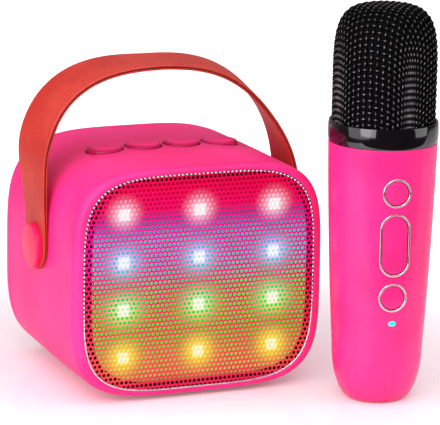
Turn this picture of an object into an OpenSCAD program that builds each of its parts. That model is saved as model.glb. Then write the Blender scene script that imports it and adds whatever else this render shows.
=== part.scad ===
// Portable karaoke set: a small lit speaker with a leather carrying strap, and its cordless microphone.
// Millimetres. Z is up, the speaker's grille faces -Y, the origin is under the middle of the foot pad.

/* [Speaker body] */
// Width of the speaker body
body_w = 105.4; // [105:0.2:120]
// Height of the speaker body
body_h = 91.8; // [91.4:0.2:104]
// Depth of the speaker body, rim to back
body_d = 88.6; // [86:0.2:100]
// Thickness of the plastic shells
wall = 2.4; // [2:0.1:2.8]
// Height of the shell above the table
floor_gap = 1.1; // [0.9:0.1:1.4]
// Squareness of the front outline's corners
corner_front = 4.3; // [4:0.1:4.6]
// Squareness of the back outline's corners
corner_back = 3.8; // [3.6:0.1:4.4]
// Radius of the back edge
back_round = 9.3; // [7:0.1:11]
// Depth over which the front edge is rounded
front_round = 3.9; // [3:0.1:5]
// Width of the rear cover, along the depth
cover_d = 11.3; // [10:0.1:12]

/* [Grille] */
// Width of the body's front edge beside the bright trim
rim_side = 4.1; // [4:0.1:6]
// Width of the body's front edge above and below the trim
rim_top = 2.7; // [2.6:0.1:5]
// Width of the trim's face
trim_face = 0.9; // [0.6:0.1:1.4]
// Depth of the step that the trim and grille sit in
grille_step = 3; // [2.6:0.1:3.6]
// Thickness of the grille's sheet metal
grille_t = 0.8; // [0.5:0.1:1]
// Pitch of the grille's openings
grille_pitch = 5.2; // [4.6:0.1:7]
// Diameter of the grille's openings
grille_hole = 2.8; // [2:0.1:3]
// Thickness of the light diffuser
diffuser_t = 0.4; // [0.3:0.1:0.6]

/* [Lights] */
// Spacing of the light columns
light_pitch_x = 31.1; // [28:0.1:32]
// Spacing of the light rows
light_pitch_z = 19; // [17:0.1:20]
// Width of one light
light_w = 5; // [3.5:0.1:5.4]
// Thickness of the circuit boards
board_t = 1.2; // [1:0.1:1.6]

/* [Speaker driver] */
// Outer diameter of the driver's frame
driver_d = 60; // [58:0.5:64]
// Diameter of the moving cone
cone_d = 40.8; // [39:0.2:42]
// Diameter of the magnet
magnet_d = 36; // [34:0.5:40]
// Height of the magnet
magnet_h = 7; // [5:0.5:9]
// Inner diameter of the voice coil
coil_d = 14.4; // [14:0.2:15]
// Clearance on each side of the voice coil
coil_gap = 0.3; // [0.2:0.05:0.4]

/* [Power and boards] */
// Diameter of the rechargeable cells
cell_d = 18.4; // [18:0.1:18.6]
// Length of the speaker's cell
cell_l = 65; // [60:0.5:66]
// Width of the main board
main_w = 64; // [58:1:66]
// Height of the main board
main_h = 44; // [40:1:48]
// Screw shank diameter in the shells
screw_d = 2.6; // [2.2:0.1:3]

/* [Top buttons] */
// Diameter of a top button
button_d = 14.4; // [13:0.1:14.6]
// Spacing of the top buttons
button_pitch = 16.4; // [16.2:0.1:17]
// Height of a top button above the housing
button_rise = 1.3; // [1:0.1:2]
// Travel of a top button
button_travel = 0.6; // [0.4:0.1:0.7]
// Distance of the top buttons from the middle of the depth, positive to the back
button_y = -2; // [-6:0.5:6]

/* [Strap] */
// Width of the strap
strap_w = 23; // [18:0.5:25]
// Thickness of the outer leather
strap_t = 1.1; // [0.9:0.1:1.4]
// Thickness of the lining
lining_t = 0.9; // [0.7:0.1:1.2]
// Height of the strap's pivot above the table
pivot_z = 56.2; // [50:0.2:62]
// Distance of the pivot from the middle of the depth, positive to the back
pivot_y = -4; // [-8:0.5:8]
// Height of the strap's outer face above its pivot
strap_rise = 72.5; // [70:0.5:84]
// Length of the straight part of the strap above the pivot
strap_straight = 12; // [11.6:0.2:14]
// Squareness of the strap's arch
strap_square = 2.55; // [2.3:0.05:2.8]
// Sideways lean of the strap's top, to the left
strap_sway = 4; // [0:0.5:5]
// Backward lean of the strap at rest, in degrees
strap_lean = 2.5; // [0:0.5:5]
// Diameter of the knob on each side
knob_d = 18; // [14:0.5:18]
// Height of the knob outside the strap
knob_h = 2.6; // [2:0.1:4]
// Diameter of the pin that the strap turns on
pin_d = 6; // [5:0.5:7]

/* [Microphone] */
// Sideways distance of the microphone from the speaker's middle
mic_x = 66.6; // [60:0.2:140]
// Distance of the microphone in front of the speaker's middle
mic_front = 65.8; // [64:0.2:120]
// Turn of the microphone about its own axis, in degrees
mic_turn = -9; // [-45:1:45]
// Radius of the microphone's flat base
mic_base_r = 9.8; // [8.6:0.2:11]
// Radius of the grip just above its rounded foot
mic_low_r = 17.8; // [17.2:0.1:18.2]
// Radius of the grip under the collar
mic_top_r = 21.3; // [20.8:0.1:21.4]
// Height of the grip
mic_grip_h = 103.1; // [102:0.2:112]
// Height of the rounded foot
mic_foot_h = 20.5; // [14:0.5:22]
// Thickness of the grip's wall
mic_wall = 2.2; // [1.8:0.1:2.4]
// Height of the black collar
collar_h = 8.3; // [7:0.1:11]
// Radius of the black collar
collar_r = 21.5; // [21.4:0.1:22.5]
// Height of the mesh head above the collar
head_h = 45.4; // [40:0.2:52]
// Radius of the mesh head
head_r = 20.4; // [19.8:0.1:20.6]
// Height of the rounded top of the mesh head
dome_h = 31.2; // [24:0.2:34]
// Squareness of the mesh head's top
dome_square = 4; // [3:0.1:4.4]
// Thickness of the mesh
mesh_t = 1; // [0.8:0.1:1.3]
// Height of the round power button above the table
power_z = 86.4; // [84:0.2:88]
// Height of the middle of the volume button
volume_z = 65.7; // [65:0.2:66.6]
// Height of the round mode button
mode_z = 44.7; // [43:0.2:46]
// Diameter of the round bezels
bezel_d = 11.4; // [10:0.1:12]
// Length of the volume button's bezel
bezel_l = 25; // [22:0.2:25.4]
// Width of the bright bezels' faces
bezel_face = 0.8; // [0.6:0.1:1]
// Travel of the microphone's round buttons
mic_travel = 0.5; // [0.3:0.1:0.6]
// Diameter of the microphone's rechargeable cell
mic_cell_d = 14; // [12:0.5:14.5]

/* [Clearances] */
// Gap between shells and what moves in them
run_gap = 0.25; // [0.2:0.05:0.3]
// Gap between parts that are pressed or seated together
fit_gap = 0.05; // [0.03:0.01:0.08]
// Gap between the strap and the side of the body
side_gap = 0.3; // [0.3:0.05:0.6]

/* [Hidden] */

$fn = 48;
eps = 0.01;
body_pink = "#F8327E";
leather_red = "#D2463A";
soot = "#1C1C1E";
bright = "#D8D8DC";
board_green = "#1F5A3A";
steel = "#8C9096";

// Points round a squircle outline.
outline_steps = 48;
// Bulge of the body's sides over its depth, and how far the front edge draws in sideways and in height.
bulge = 0.3;
front_in_x = 3.3;
front_in_z = 1.7;

trim_w = body_w - 2 * rim_side;
trim_h = body_h - 2 * rim_top;
y_front = -body_d / 2;
y_back = body_d / 2;
y_split = y_back - cover_d;
body_zc = floor_gap + body_h / 2;
y_step = y_front + grille_step;
y_flange = y_step + wall;
grille_set = 0.3;
cover_lip = 3;
lip_t = 1.2;

function signed_power(v, e) = sign(v) * pow(abs(v), e);
function squircle(a, b, n) =
  [for (i = [0:outline_steps - 1]) let (t = 360 * i / outline_steps)
    [a * signed_power(cos(t), 2 / n), b * signed_power(sin(t), 2 / n)]];
function corner_at(y) = corner_front + (corner_back - corner_front) * (y - y_front) / body_d;
function quarter(u) = 1 - sqrt(max(0, 1 - u * u));
function front_in(y) = quarter(max(0, (y_front + front_round - y) / front_round));
function bulge_at(y) = bulge * pow(y / (body_d / 2), 2);
function outer_ring(y, back_in) =
  [for (p = squircle(body_w / 2 - bulge_at(y) - front_in_x * front_in(y) - back_in,
      body_h / 2 - bulge_at(y) - front_in_z * front_in(y) - back_in, corner_at(y)))
    [p[0], y, body_zc + p[1]]];
function inner_ring(y, inset) =
  [for (p = squircle(body_w / 2 - bulge_at(y) - inset, body_h / 2 - bulge_at(y) - inset, corner_at(y)))
    [p[0], y, body_zc + p[1]]];
// Height of the body's top surface at a sideways distance x, on the middle of the depth.
function top_at(x, inset) = body_zc + (body_h / 2 - inset)
  * pow(1 - pow(abs(x) / (body_w / 2 - inset), corner_at(0)), 1 / corner_at(0));

// A closed skin through equal rings of points, from the first ring to the last, along +Y.
module loft(rings) {
  n = len(rings[0]);
  last = len(rings) - 1;
  first_cap = [[for (i = [n - 1:-1:0]) i]];
  last_cap = [[for (i = [0:n - 1]) last * n + i]];
  sides = [for (j = [0:last - 1], i = [0:n - 1])
    let (a = j * n + i, b = j * n + (i + 1) % n, c = (j + 1) * n + (i + 1) % n, d = (j + 1) * n + i)
    each [[a, b, c], [a, c, d]]];
  polyhedron(points = [for (r = rings) each r], faces = concat(first_cap, last_cap, sides));
}
// Children drawn in X and Z, extruded from y0 to y1.
module along_y(y0, y1) {
  translate([0, y1, body_zc]) rotate([90, 0, 0]) linear_extrude(y1 - y0) children();
}
module squircle_plate(y0, y1, a, b) {
  along_y(y0, y1) polygon(squircle(a, b, corner_front));
}
module squircle_frame(y0, y1, a, b, w) {
  along_y(y0, y1) difference() {
    polygon(squircle(a, b, corner_front));
    polygon(squircle(a - w, b - w, corner_front));
  }
}
// A round bar along Y, from y0 to y1.
module bar_y(y0, y1, r, x = 0, z = 0) {
  translate([x, y1, z]) rotate([90, 0, 0]) cylinder(h = y1 - y0, r = r);
}
// A round bar along X, from x0 to x1.
module bar_x(x0, x1, r, y = 0, z = 0) {
  translate([x0, y, z]) rotate([0, 90, 0]) cylinder(h = x1 - x0, r = r);
}
module box(x, y, z) {
  translate([x[0], y[0], z[0]]) cube([x[1] - x[0], y[1] - y[0], z[1] - z[0]]);
}
module mirror_copy() {
  children();
  mirror([1, 0, 0]) children();
}

// ---- Speaker housing ----
outer_angles = [0, 30, 60, 90];
module body_solid() {
  front = [for (t = outer_angles) y_front + front_round * (1 - cos(t))];
  middle = [y_front * 0.5, 0, y_back * 0.4];
  back = [for (t = [0:15:90]) [y_back - back_round * (1 - sin(t)), back_round * (1 - cos(t))]];
  loft(concat([for (y = front) outer_ring(y, 0)], [for (y = middle) outer_ring(y, 0)],
    [for (q = back) outer_ring(q[0], q[1])]));
}
inner_round = back_round - wall;
module body_cavity() {
  back = [for (t = [0:22.5:90]) [y_back - back_round + inner_round * sin(t), inner_round * (1 - cos(t))]];
  loft(concat([for (y = [y_flange, 0]) inner_ring(y, wall)],
    [for (q = back) inner_ring(q[0], wall + q[1])]));
}
module half_space(y0, y1) {
  box([-body_w, body_w], [y0, y1], [-body_h, body_h * 2]);
}

// Screw bosses of the rear cover, two high and two low.
boss_r = 4.4;
boss_in_x = 10.3;
boss_in_z = 9.5;
boss_x = body_w / 2 - wall - boss_in_x;
boss_z = body_h / 2 - wall - boss_in_z;
boss_l = 15;
module at_bosses() {
  for (sx = [-1, 1], sz = [-1, 1]) translate([sx * boss_x, 0, body_zc + sz * boss_z]) children();
}
// Screws of the baffle, in the corners of the front flange.
baffle_in_x = 8.3;
baffle_in_z = 8.1;
baffle_x = trim_w / 2 - baffle_in_x;
baffle_z = trim_h / 2 - baffle_in_z;
module at_baffle_screws() {
  for (sx = [-1, 1], sz = [-1, 1]) translate([sx * baffle_x, 0, body_zc + sz * baffle_z]) children();
}
flange_bite = 1.6;
small_r = 0.8;
small_head = 1.7;
ledge_w = 3.6;

foot_w = 52;
foot_l = 60;
foot_h = 2;
foot_r = 8;
module foot_outline(grow) {
  offset_x = foot_w / 2 - foot_r;
  offset_y = foot_l / 2 - foot_r;
  for (sx = [-1, 1], sy = [-1, 1]) translate([sx * offset_x, sy * offset_y]) circle(r = foot_r + grow);
  square([foot_w + 2 * grow, 2 * offset_y], center = true);
  square([2 * offset_x, foot_l + 2 * grow], center = true);
}

// Top buttons stand on this row, left to right.
function button_x(i) = (i - 1.5) * button_pitch;
button_r = button_d / 2;
button_flange_r = button_r + 0.6;
flange_z = top_at(button_x(3) + button_flange_r, wall) - 0.5;
button_flange_t = 0.8;
stem_z = flange_z - button_flange_t - 1.1;
switch_h = 3.5;
plunger_h = 0.7;
plunger_z = stem_z - button_travel - 0.1;
button_board_z = plunger_z - plunger_h - switch_h;
button_post_r = 2.3;
button_post_x = button_x(3) + button_flange_r + run_gap + button_post_r;

side_x = body_w / 2;
strap_in = side_x + side_gap;
strap_out = strap_in + lining_t + strap_t;
pin_fit = 0.05;

tray_z = 7.2;
tray_l = cell_l + 5;
tray_w = cell_d + 5;
tray_y = 7;
tray_floor = 1.8;
cell_z = tray_z + tray_floor + cell_d / 2;
post_x = 24;
contact_x = cell_l / 2 + 1.25;
contact_top = cell_z + 4;
ear_y = tray_w / 2 + 3;
module at_tray_ears() {
  for (sx = [-1, 1], sy = [-1, 1]) translate([sx * post_x, tray_y + sy * ear_y, 0]) children();
}

module housing_shell() {
  color(body_pink) difference() {
    union() {
      difference() {
        body_solid();
        body_cavity();
      }
      intersection() {
        body_solid();
        union() {
          at_bosses() bar_y(y_split - boss_l, y_split, boss_r);
          at_tray_ears() cylinder(h = tray_z, r = 2.6);
          for (sx = [-1, 1]) translate([sx * button_post_x, button_y, button_board_z])
            cylinder(h = body_h, r = button_post_r);
          for (sx = [-1, 1]) translate([sx * (side_x - wall), 0, 0])
            bar_x(-1.2, 1.2, pin_d / 2 + 4, pivot_y, pivot_z);
        }
      }
    }
    half_space(y_split, y_back * 2);
    along_y(y_front - 1, y_step) polygon(squircle(trim_w / 2, trim_h / 2, corner_front));
    along_y(y_front - 1, y_flange + 1)
      polygon(squircle(trim_w / 2 - ledge_w, trim_h / 2 - ledge_w, corner_front));
    at_baffle_screws() bar_y(y_flange - flange_bite - 0.2, y_flange + 1, screw_d / 2);
    at_bosses() bar_y(y_split - boss_l - 1, y_split + 1, screw_d / 2);
    translate([0, 0, -1]) linear_extrude(foot_h + 1) foot_outline(fit_gap);
    for (i = [0:3]) translate([button_x(i), button_y, body_zc]) cylinder(h = body_h, r = button_r + run_gap);
    for (sx = [-1, 1]) translate([sx * button_post_x, button_y, button_board_z - 1])
      cylinder(h = 5, r = small_r + 0.1);
    at_tray_ears() translate([0, 0, tray_z - 3.4]) cylinder(h = 4, r = small_r + 0.1);
    bar_x(-body_w, body_w, pin_d / 2 + fit_gap, pivot_y, pivot_z);
  }
}

main_y = y_split + 0.4;
// The main board stands a little above the middle, with its sockets near its lower edge.
main_up = 3;
socket_up = 6;
charge_in = 15;
card_in = 14;
main_zc = body_zc + main_up;
socket_z = main_zc - main_h / 2 + socket_up;
socket_back = y_back - wall - 0.2;
usb_w = 9;
usb_h = 3.3;
charge_x = charge_in - main_w / 2;
aux_x = 0;
card_x = main_w / 2 - card_in;
light_x = charge_x / 2;
aux_r = 1.75;
card_w = 12.4;
card_h = 1.6;
main_post_x = main_w / 2 - 3.5;
main_post_z = main_h / 2 - 3.5;
module at_main_posts() {
  for (sx = [-1, 1], sz = [-1, 1]) translate([sx * main_post_x, 0, main_zc + sz * main_post_z]) children();
}
module pill(w, h, grow = 0) {
  r = h / 2 + grow;
  square([w - h, 2 * r], center = true);
  for (s = [-1, 1]) translate([s * (w - h) / 2, 0]) circle(r = r);
}
module pill_y(y0, y1, x, z, w, h, grow = 0) {
  translate([x, y1, z]) rotate([90, 0, 0]) linear_extrude(y1 - y0) pill(w, h, grow);
}

cover_seat = 3.2;
module rear_cover() {
  color(body_pink) difference() {
    union() {
      difference() {
        body_solid();
        body_cavity();
        half_space(-y_back * 2, y_split);
      }
      // The lip that slides inside the housing.
      difference() {
        loft([inner_ring(y_split - cover_lip, wall + fit_gap), inner_ring(y_split + 1, wall + fit_gap)]);
        loft([inner_ring(y_split - cover_lip - 1, wall + fit_gap + lip_t),
          inner_ring(y_split + 2, wall + fit_gap + lip_t)]);
        at_bosses() bar_y(y_split - cover_lip - 1, y_split, boss_r + 0.4);
      }
      intersection() {
        body_solid();
        union() {
          at_bosses() bar_y(y_split, y_back, boss_r);
          at_main_posts() bar_y(main_y + board_t, y_back - wall / 2, 2.6);
        }
      }
    }
    at_bosses() bar_y(y_split - 1, y_back + 1, screw_d / 2 + 0.3);
    at_bosses() bar_y(y_split + cover_seat, y_back + 1, screw_d + 0.4);
    at_main_posts() bar_y(main_y, main_y + board_t + 4.5, small_r + 0.1);
    pill_y(y_split, y_back + 1, charge_x, socket_z, usb_w, usb_h, 0.9);
    bar_y(y_split, y_back + 1, aux_r + 1.4, aux_x, socket_z);
    box([card_x - card_w / 2, card_x + card_w / 2], [y_split, y_back + 1],
      [socket_z - card_h / 2, socket_z + card_h / 2]);
    bar_y(y_split, y_back + 1, 1 + fit_gap, light_x, socket_z);
  }
}

// ---- Grille and lights ----
module trim_ring() {
  color(bright)
    squircle_frame(y_front - 0.1, y_step - diffuser_t, trim_w / 2 - fit_gap, trim_h / 2 - fit_gap, trim_face);
}

grille_a = trim_w / 2 - trim_face - 2 * fit_gap;
grille_b = trim_h / 2 - trim_face - 2 * fit_gap;
skirt_w = 0.8;
function in_field(x, z, margin) =
  pow(abs(x) / (grille_a - margin), corner_front) + pow(abs(z) / (grille_b - margin), corner_front) <= 1;
module grille() {
  columns = ceil(grille_a / grille_pitch);
  rows = ceil(grille_b / grille_pitch);
  color("#E8457A") {
    along_y(y_front + grille_set, y_front + grille_set + grille_t) difference() {
      polygon(squircle(grille_a, grille_b, corner_front));
      for (j = [-rows:rows], i = [-columns:columns]) {
        x = (i + (j % 2 == 0 ? 0 : 0.5)) * grille_pitch;
        z = j * grille_pitch;
        if (in_field(x, z, grille_hole / 2 + 1.2)) translate([x, z]) circle(d = grille_hole, $fn = 16);
      }
    }
    squircle_frame(y_front + grille_set + grille_t, y_step - diffuser_t, grille_a, grille_b, skirt_w);
  }
}
module light_diffuser() {
  color("#F3E9F2") squircle_plate(y_step - diffuser_t, y_step, trim_w / 2 - 0.3, trim_h / 2 - 0.3);
}

baffle_t = 2.4;
baffle_edge = 4;
led_h = 1.8;
y_baffle_back = y_flange + 4.9;
y_web = y_baffle_back - baffle_t;
y_led_board = y_web - board_t;
led_bar = 8;
module led_board() {
  color("white") along_y(y_led_board, y_web) difference() {
    union() {
      for (i = [-1:1]) translate([i * light_pitch_x, 0]) square([led_bar, light_pitch_z * 3 + led_bar], center = true);
      for (s = [-1, 1]) translate([0, s * light_pitch_z * 1.5])
        square([light_pitch_x * 2 + led_bar, led_bar], center = true);
    }
    for (sx = [-1, 1], sz = [-1, 1]) translate([sx * light_pitch_x / 2, sz * light_pitch_z * 1.5]) circle(r = 1.1);
  }
}
module leds() {
  color("#FFFBEA") for (i = [-1:1], j = [-1.5:1.5])
    translate([i * light_pitch_x, y_led_board, body_zc + j * light_pitch_z]) {
      translate([-light_w / 2, -led_h + 0.4, -light_w / 2]) cube([light_w, led_h - 0.4, light_w]);
      translate([0, -led_h + 0.4, 0]) rotate([90, 0, 0]) cylinder(h = 0.4, r1 = light_w / 2 - 0.4, r2 = light_w / 2 - 1);
    }
}

driver_open = driver_d / 2 - 6.5;
baffle_a = body_w / 2 - wall - bulge - 0.35;
baffle_b = body_h / 2 - wall - bulge - 0.35;
driver_ear = driver_d / 2 - 3.2;
module at_driver_screws() {
  for (t = [45:90:315]) translate([driver_ear * cos(t), 0, body_zc + driver_ear * sin(t)]) children();
}
module baffle() {
  color("#3A3A40") difference() {
    union() {
      squircle_frame(y_flange, y_baffle_back, baffle_a, baffle_b, baffle_edge);
      squircle_plate(y_web, y_baffle_back, baffle_a - baffle_edge / 2, baffle_b - baffle_edge / 2);
    }
    bar_y(y_web - 1, y_baffle_back + 1, driver_open, 0, body_zc);
    at_baffle_screws() bar_y(y_flange - 1, y_baffle_back + 1, screw_d / 2 + 0.15);
    at_driver_screws() bar_y(y_web - 1, y_baffle_back + 1, 1);
    for (sx = [-1, 1], sz = [-1, 1])
      bar_y(y_web - 1, y_baffle_back + 1, small_r + 0.1, sx * light_pitch_x / 2, body_zc + sz * light_pitch_z * 1.5);
    translate([0, 0, ribbon_z]) box([-ribbon_w / 2 - 0.5, ribbon_w / 2 + 0.5], [y_web - 1, y_baffle_back + 1], [-0.6, 1]);
  }
}

// ---- Driver, drawn as turned profiles: radius, then distance behind the gasket ----
gasket_t = 1.6;
y_driver = y_baffle_back + gasket_t;
frame_t = 1.6;
lip_h = 0.9;
plate_t = 2;
basket_h = 13.2;
driver_r = driver_d / 2;
cone_r = cone_d / 2;
coil_in = coil_d / 2;
coil_t = 0.5;
coil_out = coil_in + coil_t;
pole_r = coil_in - coil_gap;
surround_seat = driver_open + 2.1;
module turned(points) {
  translate([0, y_driver, body_zc]) rotate([-90, 0, 0]) rotate_extrude() polygon(points);
}
module driver_gasket() {
  color(soot) difference() {
    bar_y(y_baffle_back, y_driver, driver_r, 0, body_zc);
    bar_y(y_baffle_back - 1, y_driver + 1, driver_open + 0.6, 0, body_zc);
    at_driver_screws() bar_y(y_baffle_back - 1, y_driver + 1, 1.5);
  }
}
basket_r = 15.6;
module driver_frame() {
  color(steel) difference() {
    turned([[surround_seat - 2.8, lip_h], [surround_seat, lip_h], [surround_seat, 0], [driver_r, 0],
      [driver_r, frame_t], [surround_seat - 1.2, frame_t], [basket_r + 1.4, basket_h - 1.6],
      [basket_r + 1.4, basket_h], [coil_out + 0.9, basket_h], [coil_out + 0.9, basket_h - 1.4],
      [basket_r, basket_h - 1.4], [surround_seat - 2.8, lip_h + 1.3]]);
    for (t = [0:90:270]) translate([0, y_driver + 3, body_zc]) rotate([0, t, 0])
      box([12, 26], [0, 6.5], [-6, 6]);
    at_driver_screws() bar_y(y_driver - 1, y_driver + frame_t + 1, 1.5);
  }
}
module driver_top_plate() {
  color(steel) turned([[coil_out + coil_gap, basket_h], [magnet_d / 2 - 1, basket_h],
    [magnet_d / 2 - 1, basket_h + plate_t], [coil_out + coil_gap, basket_h + plate_t]]);
}
magnet_z = basket_h + plate_t;
module driver_magnet() {
  color("#2A2A2E") turned([[coil_out + 2.4, magnet_z], [magnet_d / 2, magnet_z],
    [magnet_d / 2, magnet_z + magnet_h], [coil_out + 2.4, magnet_z + magnet_h]]);
}
module driver_yoke() {
  color(steel) turned([[0, basket_h], [pole_r, basket_h], [pole_r, magnet_z + magnet_h],
    [magnet_d / 2 - 1, magnet_z + magnet_h], [magnet_d / 2 - 1, magnet_z + magnet_h + plate_t],
    [0, magnet_z + magnet_h + plate_t]]);
}
coil_front = 8.4;
coil_l = 9.6;
module driver_coil() {
  color("#B8702C") turned([[coil_in, coil_front], [coil_out, coil_front],
    [coil_out, coil_front + coil_l], [coil_in, coil_front + coil_l]]);
}
cone_lip = 1.4;
module driver_cone() {
  color(soot) turned([[coil_out, coil_front], [cone_r - 0.8, lip_h], [cone_r, lip_h], [cone_r, cone_lip],
    [cone_r - 0.6, cone_lip], [coil_out + 0.6, coil_front + 0.8], [coil_out, coil_front + 0.8]]);
}
cap_r = 9.4;
cap_seat = coil_front - (cap_r - coil_out) * (coil_front - lip_h) / (cone_r - 0.8 - coil_out);
cap_rise = 3.2;
function cap_arc(r, rise, base) = [for (t = [0:15:90]) [r * cos(t), base - rise * sin(t)]];
module dust_cap() {
  outside = cap_arc(cap_r, cap_rise, cap_seat);
  inside = cap_arc(cap_r - 0.6, cap_rise - 0.5, cap_seat);
  color("#26262A") turned(concat(outside, [for (i = [len(inside) - 1:-1:0]) inside[i]]));
}
roll_mid = (cone_r + surround_seat - 2.6) / 2;
roll_r = roll_mid - cone_r + 0.4;
function roll(r) = [for (t = [0:15:180]) [roll_mid + r * cos(t), lip_h - 0.4 - r * sin(t)]];
module driver_surround() {
  big = roll(roll_r);
  small = roll(roll_r - 0.4);
  profile = concat([[surround_seat - 0.1, 0.1], [surround_seat - 0.1, lip_h], [roll_mid + roll_r - 0.4, lip_h]],
    small, [[roll_mid - roll_r + 0.4, lip_h], [cone_r - 0.9, lip_h], [cone_r - 0.9, lip_h - 0.4]],
    [for (i = [len(big) - 1:-1:0]) big[i]], [[roll_mid + roll_r, 0.1]]);
  color("#101012") turned(profile);
}
spider_z = basket_h - 3;
spider_r = basket_r + (surround_seat - 2.8 - basket_r) * (basket_h - 1.4 - spider_z - 0.5)
  / (basket_h - 1.4 - lip_h - 1.3);
module driver_spider() {
  color("#C8A050") turned([[coil_out + fit_gap, spider_z], [spider_r - fit_gap, spider_z],
    [spider_r - fit_gap, spider_z + 0.5], [coil_out + fit_gap, spider_z + 0.5]]);
}

// ---- Power and boards ----
module main_board() {
  color(board_green) difference() {
    box([-main_w / 2, main_w / 2], [main_y, main_y + board_t], [main_zc - main_h / 2, main_zc + main_h / 2]);
    at_main_posts() bar_y(main_y - 1, main_y + board_t + 1, 1.1);
  }
}
chip_w = 12;
chip_h = 15;
chip_t = 2;
amp_w = 7;
amp_t = 1.6;
capacitor_r = 2.5;
capacitor_l = 7;
choke_w = 4;
choke_t = 3;
plug_w = 7;
plug_h = 5;
plug_l = 5.5;
plug_in = 11.5;
plug_x = main_w / 2 - plug_in;
plug_z = main_zc - main_h / 4 + 0.5;
// A component on the main board: its middle is given as shares of the board's half width and half height.
module component(u, v, w, h, t) {
  translate([u * main_w / 2 - w / 2, main_y - t, main_zc + v * main_h / 2 - h / 2]) cube([w, t, h]);
}
module board_components() {
  color("#26262A") {
    component(-0.44, 0.43, chip_w, chip_h, chip_t);
    component(0.17, -0.02, amp_w, amp_w, amp_t);
    for (u = [0.44, 0.66]) bar_y(main_y - capacitor_l, main_y, capacitor_r, u * main_w / 2, main_zc + 0.45 * main_h / 2);
    for (u = [0.12, 0.31]) component(u, 0.45, choke_w, choke_w, choke_t);
    for (s = [-1, 1]) box([s * plug_x - plug_w / 2, s * plug_x + plug_w / 2], [main_y - plug_l, main_y],
      [plug_z - plug_h / 2, plug_z + plug_h / 2]);
  }
}
module battery_cell() {
  color("#2F6FB4") {
    bar_x(-cell_l / 2, cell_l / 2 - 1, cell_d / 2, tray_y, cell_z);
    bar_x(cell_l / 2 - 1 - eps, cell_l / 2, 3, tray_y, cell_z);
  }
}
tray_h = 8;
module battery_tray() {
  color("#303034") difference() {
    union() {
      box([-tray_l / 2, tray_l / 2], [tray_y - tray_w / 2, tray_y + tray_w / 2], [tray_z, tray_z + tray_h]);
      for (s = [-1, 1]) translate([s * contact_x, 0, 0])
        box([-1.2, 1.2], [tray_y - 6, tray_y + 6], [tray_z, contact_top]);
      at_tray_ears() translate([0, 0, tray_z]) cylinder(h = tray_floor, r = 2.8);
      for (s = [-1, 1]) box([s * post_x - 2.8, s * post_x + 2.8], [tray_y - ear_y, tray_y + ear_y],
        [tray_z, tray_z + tray_floor]);
    }
    bar_x(-cell_l / 2 - fit_gap, cell_l / 2 + fit_gap, cell_d / 2 + fit_gap, tray_y, cell_z);
    at_tray_ears() translate([0, 0, tray_z - 1]) cylinder(h = tray_floor + 2, r = small_r + 0.2);
  }
}
// Insulated wires run in straight stretches along the axes, and a flat ribbon is a folded strip.
lead_r = 0.6;
plug_y = main_y - plug_l;
lead_side = 0.9;
function pick(a, b) = [min(a, b), max(a, b)];
module wire(points) {
  for (i = [0:len(points) - 2]) {
    a = points[i];
    b = points[i + 1];
    if (a[0] != b[0]) bar_x(min(a[0], b[0]), max(a[0], b[0]), lead_r, a[1], a[2]);
    if (a[1] != b[1]) bar_y(min(a[1], b[1]), max(a[1], b[1]), lead_r, a[0], a[2]);
    if (a[2] != b[2]) translate([a[0], a[1], min(a[2], b[2])]) cylinder(h = abs(b[2] - a[2]), r = lead_r);
    if (i > 0) translate(a) sphere(r = lead_r);
  }
}
ribbon_w = 8;
ribbon_t = 0.4;
module ribbon(points) {
  for (i = [0:len(points) - 2]) {
    a = points[i];
    b = points[i + 1];
    box([-ribbon_w / 2, ribbon_w / 2], pick(a[0], b[0]) + [0, ribbon_t], pick(a[1], b[1]) + [0, ribbon_t]);
  }
}
ribbon_z = body_zc - driver_d / 2 - 1.6;
ribbon_rise_y = y_driver + magnet_z + magnet_h + plate_t + 1;
// The lights' ribbon crosses above the cell to the lower part of the main board.
ribbon_end_z = max(main_zc - main_h / 2, cell_z + cell_d / 2) + 2;
module inner_leads() {
  // The two leads of the driver.
  driver_tab = driver_r - 4;
  color("#B02020") for (i = [0:1])
    wire([[driver_tab + i * 1.6, y_driver + frame_t, plug_z], [driver_tab + i * 1.6, plug_y - 4 + i * 1.6, plug_z],
      [plug_x + (2 * i - 1) * lead_side, plug_y - 4 + i * 1.6, plug_z],
      [plug_x + (2 * i - 1) * lead_side, plug_y, plug_z]]);
  // The two leads of the cell, one from each end.
  color(soot) {
    wire([[-contact_x, tray_y, contact_top], [-contact_x, tray_y, plug_z], [-contact_x, plug_y - 3, plug_z],
      [-plug_x - lead_side, plug_y - 3, plug_z], [-plug_x - lead_side, plug_y, plug_z]]);
    wire([[contact_x, tray_y, contact_top], [contact_x, tray_y, cell_z + 15], [lead_side - plug_x, tray_y, cell_z + 15],
      [lead_side - plug_x, plug_y - 3, cell_z + 15], [lead_side - plug_x, plug_y - 3, plug_z],
      [lead_side - plug_x, plug_y, plug_z]]);
  }
  // The ribbons of the button board and of the lights.
  color("#D8D4C4") {
    button_back = button_y + button_board_w / 2;
    board_top = main_zc + main_h / 2 - 3;
    ribbon([[button_back, button_board_z - 0.8], [main_y - 1.6, button_board_z - 0.8], [main_y - 1.6, board_top],
      [main_y - ribbon_t, board_top]]);
    ribbon([[y_web, ribbon_z], [ribbon_rise_y, ribbon_z], [ribbon_rise_y, ribbon_end_z],
      [main_y - ribbon_t, ribbon_end_z]]);
  }
}

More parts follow.
